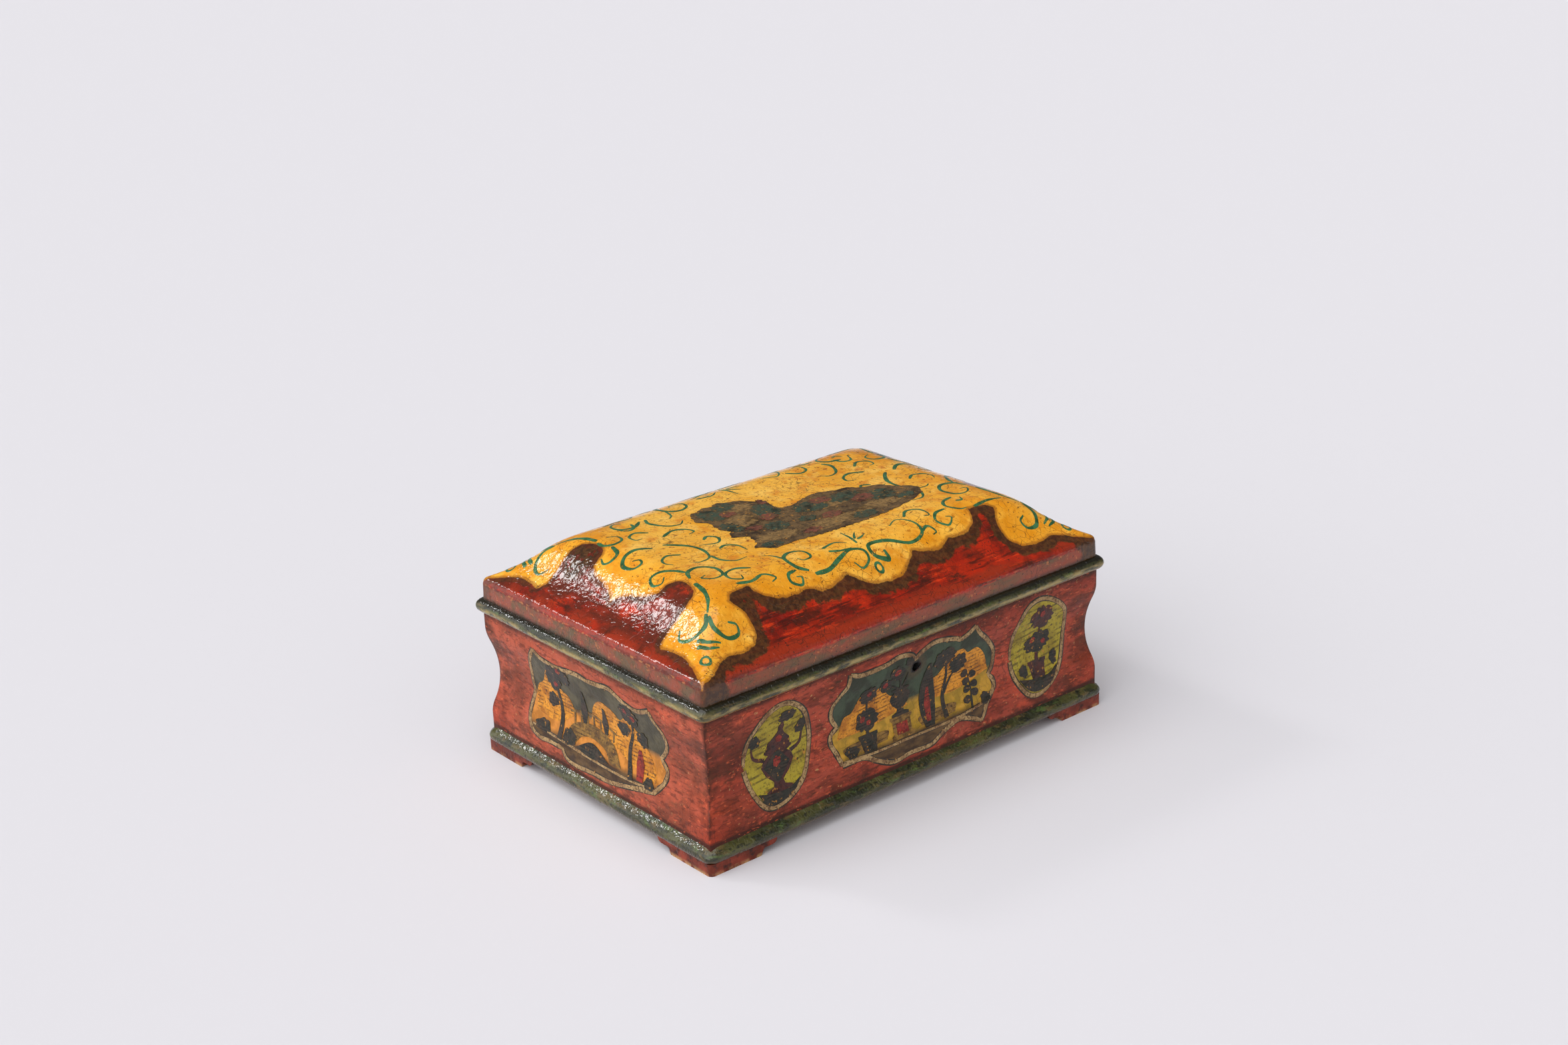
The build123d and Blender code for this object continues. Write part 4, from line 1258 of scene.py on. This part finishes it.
def hand_coloured_print(name, tone, deep, ink, hatch=1.1, slope=0.25, patch=9):
    """An engraving on laid paper, coloured by hand and varnished: fine ink hatching over a wash.

    The real hatching is about 0.4 mm apart. It is drawn wider, so that it shows.
    """
    made, tree, place = new_material(name)
    wash = coat(tree, tone, deep, mottle(tree, place, patch, 0.4, 0.66, shift=len(name), detail=5.0))
    turned_place = add(tree, "Mapping", {
        "Vector": place, "Rotation": (slope, slope, 0), "Scale": (0.15, 0.15, 1),
    })
    lines = add(
        tree, "TexWave",
        {
            "Vector": turned_place, "Scale": 1 / (hatch * MM) / 6.28, "Distortion": 3.0, "Detail": 2.0,
            "Detail Scale": 1.5,
        },
        bands_direction="Z",
    )
    hatched = overlap(
        tree, add(tree, "MapRange", {"Value": lines, "From Min": 0.62, "From Max": 0.9}),
        mottle(tree, place, 6, 0.42, 0.6, shift=3.0 + len(name)),
    )
    wash = coat(tree, wash, ink, hatched, 0.75)
    wash = patched(
        tree, place, wash,
        ("#B47A2C", 0.7, 2.6, 0.62, 0.68, (1, 1, 1), 12.0 + len(name), 5.0),
        (ink, 0.5, 1.5, 0.54, 0.64, (1, 1, 1), 14.0, 3.0),
    )
    wash = coat(tree, wash, "#2A1A10", cracks(tree, place, 4, 0.03, 2.0), 0.6)
    wash = coat(tree, wash, "#241710", mottle(tree, place, 2.0, 0.64, 0.7, shift=8.0, detail=2.0), 0.8)
    return varnished(made, tree, place, wash, (8, 0.38, 0.55), 0.2, 0.4, 0.16, 1.2)


def garden_print(name, dark_sky, light_sky, dark_lawn, light_lawn):
    """The paper behind the garden views: a dark sky over a lawn and a strip of soil, washed by hand."""
    made, tree, place = new_material(name)
    sky_tone = coat(tree, dark_sky, light_sky, mottle(tree, place, 10, 0.38, 0.62, detail=5.0))
    lawn = coat(tree, dark_lawn, light_lawn, mottle(tree, place, 8, 0.38, 0.62, shift=4.0, detail=5.0))
    soil = coat(tree, "#3A2818", "#5C4426", mottle(tree, place, 5, 0.38, 0.62, (0.4, 0.4, 1), 6.0, 5.0))
    lower = past_level(tree, place, 52, 48)
    lowest = past_level(tree, place, 34, 30.5)
    wash = coat(tree, coat(tree, sky_tone, lawn, lower), soil, lowest)
    wash = coat(tree, wash, "#4E4028", near_keyhole(tree, place, 9.0, 4.6), 0.7)
    # Painted shade: near black on the paper at the edge of the keyhole
    wash = coat(tree, wash, "#080504", near_keyhole(tree, place, 4.6, 3.4))
    wash = coat(tree, wash, "#2A1A10", cracks(tree, place, 4, 0.03, 2.0), 0.6)
    return varnished(made, tree, place, wash, (8, 0.38, 0.55), 0.2, 0.4, 0.16, 1.2)


def ribbon_paint():
    """A painted ribbon in tan size colour, stippled brown and rubbed."""
    made, tree, place = new_material("stippled_tan_ribbon")
    tan = patched(
        tree, place, "#8C6E48",
        ("#A88A5E", 1, 5, 0.4, 0.6),
        ("#4E3420", 0.8, 1.3, 0.5, 0.62, (1, 1, 1), 3.0, 2.0),
        ("#5E3A26", 0.7, 9, 0.52, 0.68, (1, 1, 1), 6.0, 5.0),
    )
    return varnished(made, tree, place, tan, (6, 0.4, 0.55), 0.2, 0.35, 0.2)


front_paper = garden_print("front_garden_engraving", "#2B3022", "#3C4836", "#94741E", "#BA8C2C")
end_paper = garden_print("end_garden_engraving", "#3A3626", "#524C38", "#A4661E", "#C88032")
amber_print = hand_coloured_print("amber_coloured_engraving", "#D48C26", "#A06018", "#4A2E14")
olive_print = hand_coloured_print("olive_coloured_engraving", "#A4922A", "#86721E", "#4A3E14", 1.3, 0.6)
dark_print = hand_coloured_print("dark_foliage_engraving", "#2A2A22", "#3E3228", "#14100C", 0.9, 0.1, 5)
wine_print = hand_coloured_print("wine_coloured_engraving", "#4A2620", "#3A2A28", "#1A100C", 1.2, 1.3, 5)
red_print = hand_coloured_print("red_accent_engraving", "#8E2E22", "#6A221A", "#2A100C", 1.0, 0.4, 4)
stone_print = hand_coloured_print("stone_coloured_engraving", "#86642E", "#5A4020", "#3A2814", 1.0, 0.3, 5)
ribbon_tan = ribbon_paint()

# Borders, as smooth stretches that meet in points: clockwise seen from outside the box
front_border = [
    [(-55.6, 28.8), (-58.3, 36.4), (-61.3, 43), (-60.7, 48), (-56, 51.7)],
    [(-56, 51.7), (-60.3, 58.8), (-60.5, 66), (-55.5, 72.6), (-50.6, 77), (-48.7, 83.5)],
    [(-48.7, 83.5), (-41, 80.7), (-22.6, 80.8), (-12, 82.6), (-3.4, 81), (0.5, 77)],
    [(0.5, 77), (4.4, 80), (16.3, 83.1), (30.3, 80.5), (36, 78.1)], [(36, 78.1), (42, 79.8), (48.4, 83)],
    [(48.4, 83), (52, 77), (60, 69.2), (66.1, 60), (65.3, 51), (61.9, 45.9)],
    [(61.9, 45.9), (65.3, 41.5), (65, 36.5), (58, 30), (52.4, 20)],
    [
        (52.4, 20), (44, 24.4), (33.8, 27), (21, 23.2), (11, 18.8), (-4, 19.2), (-18, 17.9), (-30, 23),
        (-40, 28.2), (-55.6, 28.8),
    ],
]
front_sill = [(-53, 31), (-30, 29.5), (0, 29.4), (30, 29.2), (59, 32)]
end_border = [
    [(54.6, 80.6), (48.5, 77.4), (40, 76.2), (28, 76.5), (12.3, 78.6), (2, 78)],
    [(2, 78), (-8, 79), (-20, 80.2), (-33.8, 75.8), (-45, 75), (-55.6, 78.8)],
    [(-55.6, 78.8), (-58.5, 74), (-64, 68), (-65.8, 61.2), (-64, 55.5), (-59.2, 49.8)],
    [(-59.2, 49.8), (-64.5, 44), (-63, 36.5), (-55.2, 27.8)],
    [(-55.2, 27.8), (-44, 26), (-30, 22.9), (-14, 19.6), (2, 19.3), (17, 17.9), (27, 19.2), (31, 24.3)],
    [(31, 24.3), (42, 24.6), (54, 23.9), (63, 28), (65.9, 36), (61.9, 50)],
    [(61.9, 50), (63, 60), (60.4, 71), (54.6, 80.6)],
]
end_sill = [(60, 31), (30, 29.6), (0, 28.4), (-30, 28.6), (-56, 30.5)]
left_oval = [
    (-121.3, 50.6), (-118, 67.5), (-107, 79), (-92.2, 82), (-79.5, 73.4), (-72.9, 55), (-77, 36.5),
    (-87, 26.5), (-99, 21.6), (-109.5, 23.2), (-117, 33.5),
]
right_oval = [
    (76.9, 48.9), (79.4, 66.9), (86.5, 79.5), (98, 84), (111.2, 80), (123, 69.5), (124.6, 55),
    (121.5, 38.5), (113.5, 28.4), (100.5, 21), (89, 23.4), (80, 35),
]


def keyhole_tear(radius):
    """The ragged hole that wear has left in the paper round the keyhole."""
    turns = np.linspace(0, 2 * math.pi, 14, endpoint=False)
    reach = radius * (1 + 0.14 * np.sin(5 * turns + 1) + 0.08 * np.sin(3 * turns))
    return np.column_stack([keyhole_x + reach * np.cos(turns), keyhole_level + reach * np.sin(turns)])


ribbon_width, ribbon_inset, sill_width, ink_overhang = 2.8, 1.6, 1.6, 1.0


def glue_view(name, surface, border, paper, sill=None, closed=False, hole=None):
    """One framed view's ground: the paper, the ribbon round it and the ink lines beside it."""
    if closed:
        outline = line = smooth_line(shrunk(border, ribbon_inset), 1.0, closed=True)
        ribbon = [(ribbon_width, 0, np.vstack([line, line[:1]])[::3])]
    else:
        drawn_in = inside_stretches(border, ribbon_inset)
        outline = joined(*drawn_in)
        ribbon = [(ribbon_width, 0, stretch) for stretch in drawn_in]
    if sill is not None:
        ribbon.append((sill_width, 0, sill))
    edges = [(width + ink_overhang, dry, points) for width, dry, points in ribbon]
    outlines = [outline] if hole is None else [outline, hole]
    cut_paper(f"{name}_paper", outlines, surface, paper, "box", "red_lacquered_wood", 0.0)
    lay_strokes(f"{name}_ink_line", edges, surface, dark_print, "box", "red_lacquered_wood", 0.06, 0.10)
    lay_strokes(f"{name}_ribbon", ribbon, surface, ribbon_tan, "box", "red_lacquered_wood", 0.14, 0.12)


def glue(name, surface, layer, material, outlines, folds=(7.0, 2.0), body="box", slot="red_lacquered_wood"):
    """Cut-outs of one print, joined as one piece. The layer, from 0, is its place over the paper."""
    sheets = []
    for part, outline in enumerate(outlines):
        lift = 0.12 + 0.06 * layer + 0.004 * part
        sheets.append(
            cut_paper(f"{name}_{part}", [outline], surface, material, body, slot, lift, folds=folds),
        )
    take(*sheets)
    bpy.ops.object.join()
    sheets[0].name = name


def rail_post(x):
    """A post of the bridge's railing, lower the further it stands from the crown."""
    foot, head = 46 - abs(x - 4) * 0.16, 53 - abs(x - 4) * 0.16
    return joined([(x, foot), (x, head)], [(x, head), (x - 1.6, head), (x - 1.6, foot)])


urn = [
    (6, 0), (6, 2), (2.6, 3.5), (2.2, 6), (5.5, 10), (7.4, 15), (6.4, 18.5), (4.2, 20.5), (6.2, 22),
    (6.2, 23.5),
]
pedestal = [(8.5, 0), (8.5, 2), (6.8, 3), (6.8, 10), (8.2, 11), (8.2, 12.5)]
pot = [(4.2, 0), (5.6, 8), (6.4, 8.4), (6.4, 10)]

# Front view: a flowering urn on its pedestal between potted plants and trees, hills behind
glue_view("front_view", on_front, front_border, front_paper, front_sill, hole=keyhole_tear(3.2))
glue("front_view_hills", on_front, 0, amber_print, [
    joined(
        [(-55, 44), (-50, 55), (-44, 57), (-38, 65), (-30, 62), (-24, 66), (-16, 58), (-8, 56), (-2, 48)],
        [(-2, 48), (-30, 44), (-55, 44)],
    ),
    joined(
        [(8, 46), (14, 56), (22, 60), (30, 69), (38, 70), (43, 66), (50, 67), (57, 60), (60, 50)],
        [(60, 50), (35, 45), (8, 46)],
    ),
])
glue("front_view_stonework", on_front, 1, stone_print, [
    turned(-8, 31, pedestal),
    joined([(-50, 33), (-50, 38), (-20, 38.6), (-20, 33.6)], [(-20, 33.6), (-35, 33), (-50, 33)]),
    joined([(6, 33), (6, 38.4), (32, 38.4), (32, 33.4)], [(32, 33.4), (20, 32.6), (6, 33)]),
])
glue("front_view_dark_plants", on_front, 2, dark_print, [
    turned(-8, 43.5, [(half * 1.05, height * 0.72) for half, height in urn]),
    stem([(-8, 59), (-8.5, 64), (-11, 69)], 1.8), stem([(-8, 59), (-5, 64), (-4, 69)], 1.6),
    stem([(-8, 59), (-14, 63), (-19, 64)], 1.6), lobed(-12, 71, 5.4, 4.6, 5, 1.0),
    lobed(-3.8, 76, 3.2, 2.6, 5, 2.0), lobed(-20, 65.5, 4.6, 4, 5, 3.0),
    turned(-33, 31, [(half * 1.1, height) for half, height in pot]), stem([(-33, 40), (-33, 68)], 2.4),
    lobed(-33, 49, 8, 6.6, 8, 0.5), lobed(-32.4, 64, 6, 5, 7, 2.5),
    turned(12, 31, [(3.4, 0), (5.6, 8), (6.2, 17), (4.6, 27), (1.0, 38)], 0.02),
    stem([(25, 32), (24, 44), (27, 56), (26, 64)], 3.6), stem([(25, 46), (31, 55), (35, 59)], 2.2),
    lobed(24, 69, 8, 6, 8, 0.3), lobed(36, 61.5, 7, 5.4, 7, 1.7), stem([(45, 31), (46, 42), (44, 52)], 1.6),
    *leaves_along([(45, 34), (46, 42), (44, 54)], 7, 2.8), lobed(-46, 34.5, 5, 3.4, 6, 5.0),
    lobed(56, 34, 4, 3.4, 6, 6.0),
])
glue("front_view_red_flowers", on_front, 3, red_print, [
    lobed(-12.5, 71.6, 2.2, 2, 5), lobed(-20.4, 66, 1.8, 1.7, 5, 2.0), lobed(-36, 50, 1.9, 1.7, 5, 4.0),
    lobed(-31.6, 47, 1.6, 1.5, 5, 5.0), lobed(-32, 64.6, 1.8, 1.7, 5, 3.0),
    turned(-8, 33.4, [(4.2, 0), (4.2, 6.2)]), turned(12, 34, [(1.6, 0), (2.4, 10), (0.8, 20)], 0.02),
])

# The two ovals: a covered urn and a clipped tree in a tub
glue_view("left_oval", on_front, left_oval, olive_print, closed=True)
glue("left_oval_wine_shapes", on_front, 0, wine_print, [
    turned(-98, 30, [(half * 1.5, height * 1.05) for half, height in urn], 0.06),
    turned(-96.6, 54, [(8.5, 0), (7.4, 5), (3.4, 8.5), (1.6, 11), (2.2, 13.5), (0.6, 16)], 0.1),
    stem([(-106, 50), (-113, 53), (-115, 60)], 2.6), stem([(-88, 50), (-81.5, 53), (-80, 61)], 2.6),
])
glue("left_oval_dark_shapes", on_front, 1, dark_print, [
    joined(
        [(-113, 33), (-104, 31), (-92, 30.5), (-83, 34)],
        [(-83, 34), (-90, 27), (-100, 24.6), (-108, 26), (-113, 33)],
    ),
    lobed(-113, 63, 3.8, 4.2, 6, 1.0), lobed(-81.5, 63, 3.6, 4.4, 6, 2.0), lobed(-92, 73, 6, 3.2, 7, 4.0),
    turned(-98, 36, [(1.4, 0), (9, 9), (1.4, 17)], 0.06),
])
glue("left_oval_red_shapes", on_front, 2, red_print, [
    lobed(-97.5, 47, 2.6, 3, 6), lobed(-96, 60, 2, 2.2, 5, 1.0),
])
glue_view("right_oval", on_front, right_oval, olive_print, closed=True)
glue("right_oval_wine_shapes", on_front, 0, wine_print, [
    turned(100, 31, [(half * 1.15, height * 1.2) for half, height in pot]), lobed(102, 70, 9, 7.4, 9, 1.0),
    stem([(100, 42), (101, 52), (102, 66)], 3),
])
glue("right_oval_dark_shapes", on_front, 1, dark_print, [
    joined(
        [(84, 35), (95, 32.6), (108, 32.4), (116, 36)],
        [(116, 36), (110, 27.6), (99, 24.6), (90, 27.6), (84, 35)],
    ),
    lobed(101, 54, 10.5, 6.4, 9, 2.0), lobed(88.5, 39, 3.4, 4, 6, 3.0), lobed(113.5, 41, 3.2, 4.4, 6, 4.0),
])
glue("right_oval_red_shapes", on_front, 2, red_print, [
    lobed(97, 56, 1.8, 1.8, 5), lobed(106, 53, 1.8, 1.7, 5, 1.0), lobed(102, 72, 2, 1.9, 5, 2.0),
])

# Ends: a planked bridge between trees, hills behind
for side, surface in (("left", on_left), ("right", on_right)):
    name = f"{side}_end_view"
    glue_view(name, surface, end_border, end_paper, end_sill)
    glue(f"{name}_hills", surface, 0, amber_print, [
        joined(
            [(58, 40), (57, 54), (50, 60), (44, 69), (37, 68), (33, 60), (26, 57), (20, 48)],
            [(20, 48), (38, 39), (58, 40)],
        ),
        joined(
            [(6, 50), (2, 60), (-6, 66), (-16, 64), (-22, 60), (-28, 63), (-38, 58), (-50, 46), (-56, 34)],
            [(-56, 34), (-30, 38), (6, 50)],
        ),
    ])
    glue(f"{name}_bridge", surface, 1, stone_print, [
        joined(
            [(30, 33), (22, 43), (4, 47.5), (-14, 43), (-24, 32)],
            [(-24, 32), (-14, 32), (-8, 37), (4, 39.6), (14, 37.6), (19, 32.6)], [(19, 32.6), (30, 33)],
        ),
        *[rail_post(x) for x in range(-14, 26, 6)],
        joined([(26, 50), (4, 54.6), (-17, 50)], [(-17, 50), (-17, 48.6), (4, 53), (26, 48.6)]),
    ])
    glue(f"{name}_dark_trees", surface, 2, dark_print, [
        stem([(34, 30), (33, 45), (36, 60), (34, 72)], 4.4), lobed(38, 66, 7, 8, 8, 1.0),
        lobed(28, 70, 7, 5, 7, 2.0), lobed(41.5, 51, 5, 4.6, 6, 3.0),
        stem([(-33, 29), (-30, 44), (-34, 58), (-33, 68)], 4.2), lobed(-33, 67, 8, 6, 8, 4.0),
        lobed(-25.5, 56, 5.6, 4.4, 6, 5.0), lobed(-42, 55, 5.2, 4.4, 6, 6.0), lobed(50, 33, 7, 4, 6, 7.0),
        lobed(-49, 32, 4.6, 3.2, 6, 8.0), lobed(25, 34, 6, 5, 6, 9.0),
        joined([(18, 31), (4, 37), (-13, 31)], [(-13, 31), (4, 29), (18, 31)]),
        turned(12, 46, [(1.4, 0), (3.4, 7), (0.8, 20)], -0.04),
        turned(-8, 46, [(1.3, 0), (3.0, 6), (0.8, 16)], 0.04),
    ])
    glue(f"{name}_red_accents", surface, 3, red_print, [
        lobed(30.6, 72.6, 2, 1.8, 5), lobed(37, 62, 1.9, 1.8, 5, 1.0), lobed(-36, 66, 2, 1.8, 5, 2.0),
        turned(-41, 31, [(2.6, 0), (3.6, 9), (1.2, 17)], 0.1), lobed(-30.5, 69, 1.8, 1.7, 5, 3.0),
    ])

# Lid view: a ragged strip of ground with rocks, bushes and trees in three tones
lid_ground = joined(
    [
        (-43, 39), (-49, 27), (-45, 18), (-47, 8), (-45, 0), (-50, -8), (-43, -13), (-45, -24), (-50, -29),
        (-42, -38),
    ],
    [(-42, -38), (-28, -37), (-11, -39), (10, -40), (30, -40), (48, -38), (66, -34), (76, -29)],
    [(76, -29), (80, -22), (76, -15)],
    [
        (76, -15), (69, -8), (66, -2), (56, 1), (50, 7), (40, 9), (30, 13), (18, 11), (8, 8), (0, 9),
        (-1, 16), (0, 22), (-6, 30), (-10, 36), (-17, 38), (-22, 42), (-27, 39), (-33, 41), (-38, 38),
        (-43, 39),
    ],
)


def ragged(outline):
    """Tears an outline a little, as scissors and lost flakes leave it."""
    outline = np.array(outline)
    away = outline - outline.mean(axis=0)
    turn = np.arctan2(*away.T)
    wave = np.sin(turn * 41) + 0.7 * np.sin(turn * 67 + 1) + 0.5 * np.sin(turn * 103 + 2)
    return outline + away / np.linalg.norm(away, axis=1)[:, None] * (0.45 * wave)[:, None]


lid_grey = hand_coloured_print("grey_brown_engraving", "#6C5436", "#4A3A28", "#2A1E14", 1.0, 0.2, 5)
lid_teal = hand_coloured_print("teal_green_engraving", "#3C4A3C", "#504632", "#171A11", 1.0, 0.5, 4)
lid_rose = hand_coloured_print("dull_rose_engraving", "#7A4636", "#5E4632", "#2E1812", 1.2, 0.4, 3.5)
lid_sand = hand_coloured_print("sand_coloured_engraving", "#8A6C42", "#665034", "#34240F", 1.0, 0.3, 4)
lid_trim = {"folds": (3.0, 3.0), "body": "lid", "slot": "amber_and_red_lacquered_lid"}
lid_growth = (
    ("sand_banks", lid_sand, [
        (-30, -24, 14, 6, 9), (6, -29, 20, 6, 11), (44, -26, 16, 5.5, 9), (-30, 8, 11, 8, 9),
        (-18, 26, 9, 6, 8), (26, -6, 12, 5, 9),
    ]),
    ("teal_trees", lid_teal, [
        (-37, 27, 7, 9, 8), (-24, 33, 8, 5.5, 8), (-40, 4, 5, 8, 8), (-9, 12, 8, 10, 9), (13, -2, 10, 8, 9),
        (38, -3, 11, 6.5, 9), (56, -15, 9, 8, 9), (-20, -12, 8, 6, 8), (-40, -32, 6, 4.5, 7),
        (28, -33, 9, 4.5, 8), (66, -26, 6, 3.6, 7), (0, -15, 6, 4, 7),
    ]),
    ("rose_bushes", lid_rose, [
        (-29, 22, 5, 4, 6), (-14, 3, 6, 4.5, 7), (24, 2, 7, 4, 7), (45, -12, 8, 5, 8), (-32, -6, 5, 4, 6),
        (14, -20, 7, 4, 7), (-10, -31, 6, 3.6, 7), (-2, 24, 3, 4, 6),
    ]),
)
glue("lid_view_paper", on_lid, 0, lid_grey, [ragged(lid_ground)], **lid_trim)
for layer, (ending, material, bushes) in enumerate(lid_growth, 1):
    outlines = [ragged(lobed(*bush, seed)) for seed, bush in enumerate(bushes, 1)]
    glue(f"lid_view_{ending}", on_lid, layer, material, outlines, **lid_trim)


# Floor, light and camera

def plain(name, code, rough):
    made, tree, _ = new_material(name)
    shader = add(tree, "BsdfPrincipled", {"Base Color": code, "Roughness": rough, "Specular IOR Level": 0.0})
    add(tree, "OutputMaterial", {"Surface": shader})
    return made


floor = start(bpy.ops.mesh.primitive_plane_add, "studio_floor", size=30)
floor.data.materials.append(plain("pale_studio_paper", "#DAD8DD", 0.9))

world = bpy.data.worlds.new("studio")
bpy.context.scene.world = world
world.use_nodes = True
studio = world.node_tree
ray = add(studio, "TexCoord").outputs["Generated"]


def glow_from(side, low, high, strength):
    """A soft bright side of the studio."""
    side = Vector(side).normalized()
    towards = add(studio, "VectorMath", {0: ray, 1: side}, operation="DOT_PRODUCT").outputs["Value"]
    return add(
        studio, "MapRange", {"Value": towards, "From Min": low, "From Max": high, "To Max": strength},
        interpolation_type="SMOOTHSTEP",
    )


left_glow = glow_from((-0.96, 0.15, 0.06), 0.3, 0.95, 1.75)
viewer_glow = glow_from((-0.35, -0.90, 0.25), 0.2, 0.95, 0.55)
ceiling_glow = glow_from((-0.6, -0.3, 0.75), 0.3, 0.95, 0.45)
window_edge, window_pane = math.cos(math.radians(6)), math.cos(math.radians(3.5))
window = glow_from((-0.35, 0.72, 0.59), window_edge, window_pane, 15.0)
fill_light = 0.13
glows = total(studio, left_glow, viewer_glow, ceiling_glow, window, fill_light)
studio.links.new(out(glows), studio.nodes["Background"].inputs["Strength"])
studio.nodes["Background"].inputs["Color"].default_value = paint("#FFFFFF")

key_lamp = bpy.data.lights.new("large_soft_key", "SUN")
key_lamp.energy = 1.1
key_lamp.angle = math.radians(60)
key = bpy.data.objects.new("large_soft_key", key_lamp)
bpy.context.scene.collection.objects.link(key)
key.rotation_mode = "QUATERNION"
key.rotation_quaternion = Vector((0.2, -0.05, -1.0)).to_track_quat("-Z", "Y")


# Fitted to the corners of the feet, mouldings and lid in the photo
camera_place = Vector((-750.4, -903.0, 573.6)) * MM
camera_yaw, camera_pitch, camera_roll = (math.radians(a) for a in (39.529, 20.728, -2.140))
photo_width, focal_pixels = 2353, 3280.4
camera = bpy.data.cameras.new("photo_camera")
camera.sensor_fit = "HORIZONTAL"
camera.sensor_width = 36.0
camera.lens = focal_pixels / photo_width * camera.sensor_width
camera_object = bpy.data.objects.new("photo_camera", camera)
bpy.context.scene.collection.objects.link(camera_object)
ahead = Vector((
    math.sin(camera_yaw) * math.cos(camera_pitch),
    math.cos(camera_yaw) * math.cos(camera_pitch),
    -math.sin(camera_pitch),
))
level_right = ahead.cross(Vector((0, 0, 1))).normalized()
level_up = level_right.cross(ahead)
right = level_right * math.cos(camera_roll) + level_up * math.sin(camera_roll)
above = level_up * math.cos(camera_roll) - level_right * math.sin(camera_roll)
turn = Matrix((right, above, -ahead)).transposed().to_4x4()
camera_object.matrix_world = Matrix.Translation(camera_place) @ turn
bpy.context.scene.camera = camera_object
bpy.context.scene.view_settings.view_transform = "Standard"
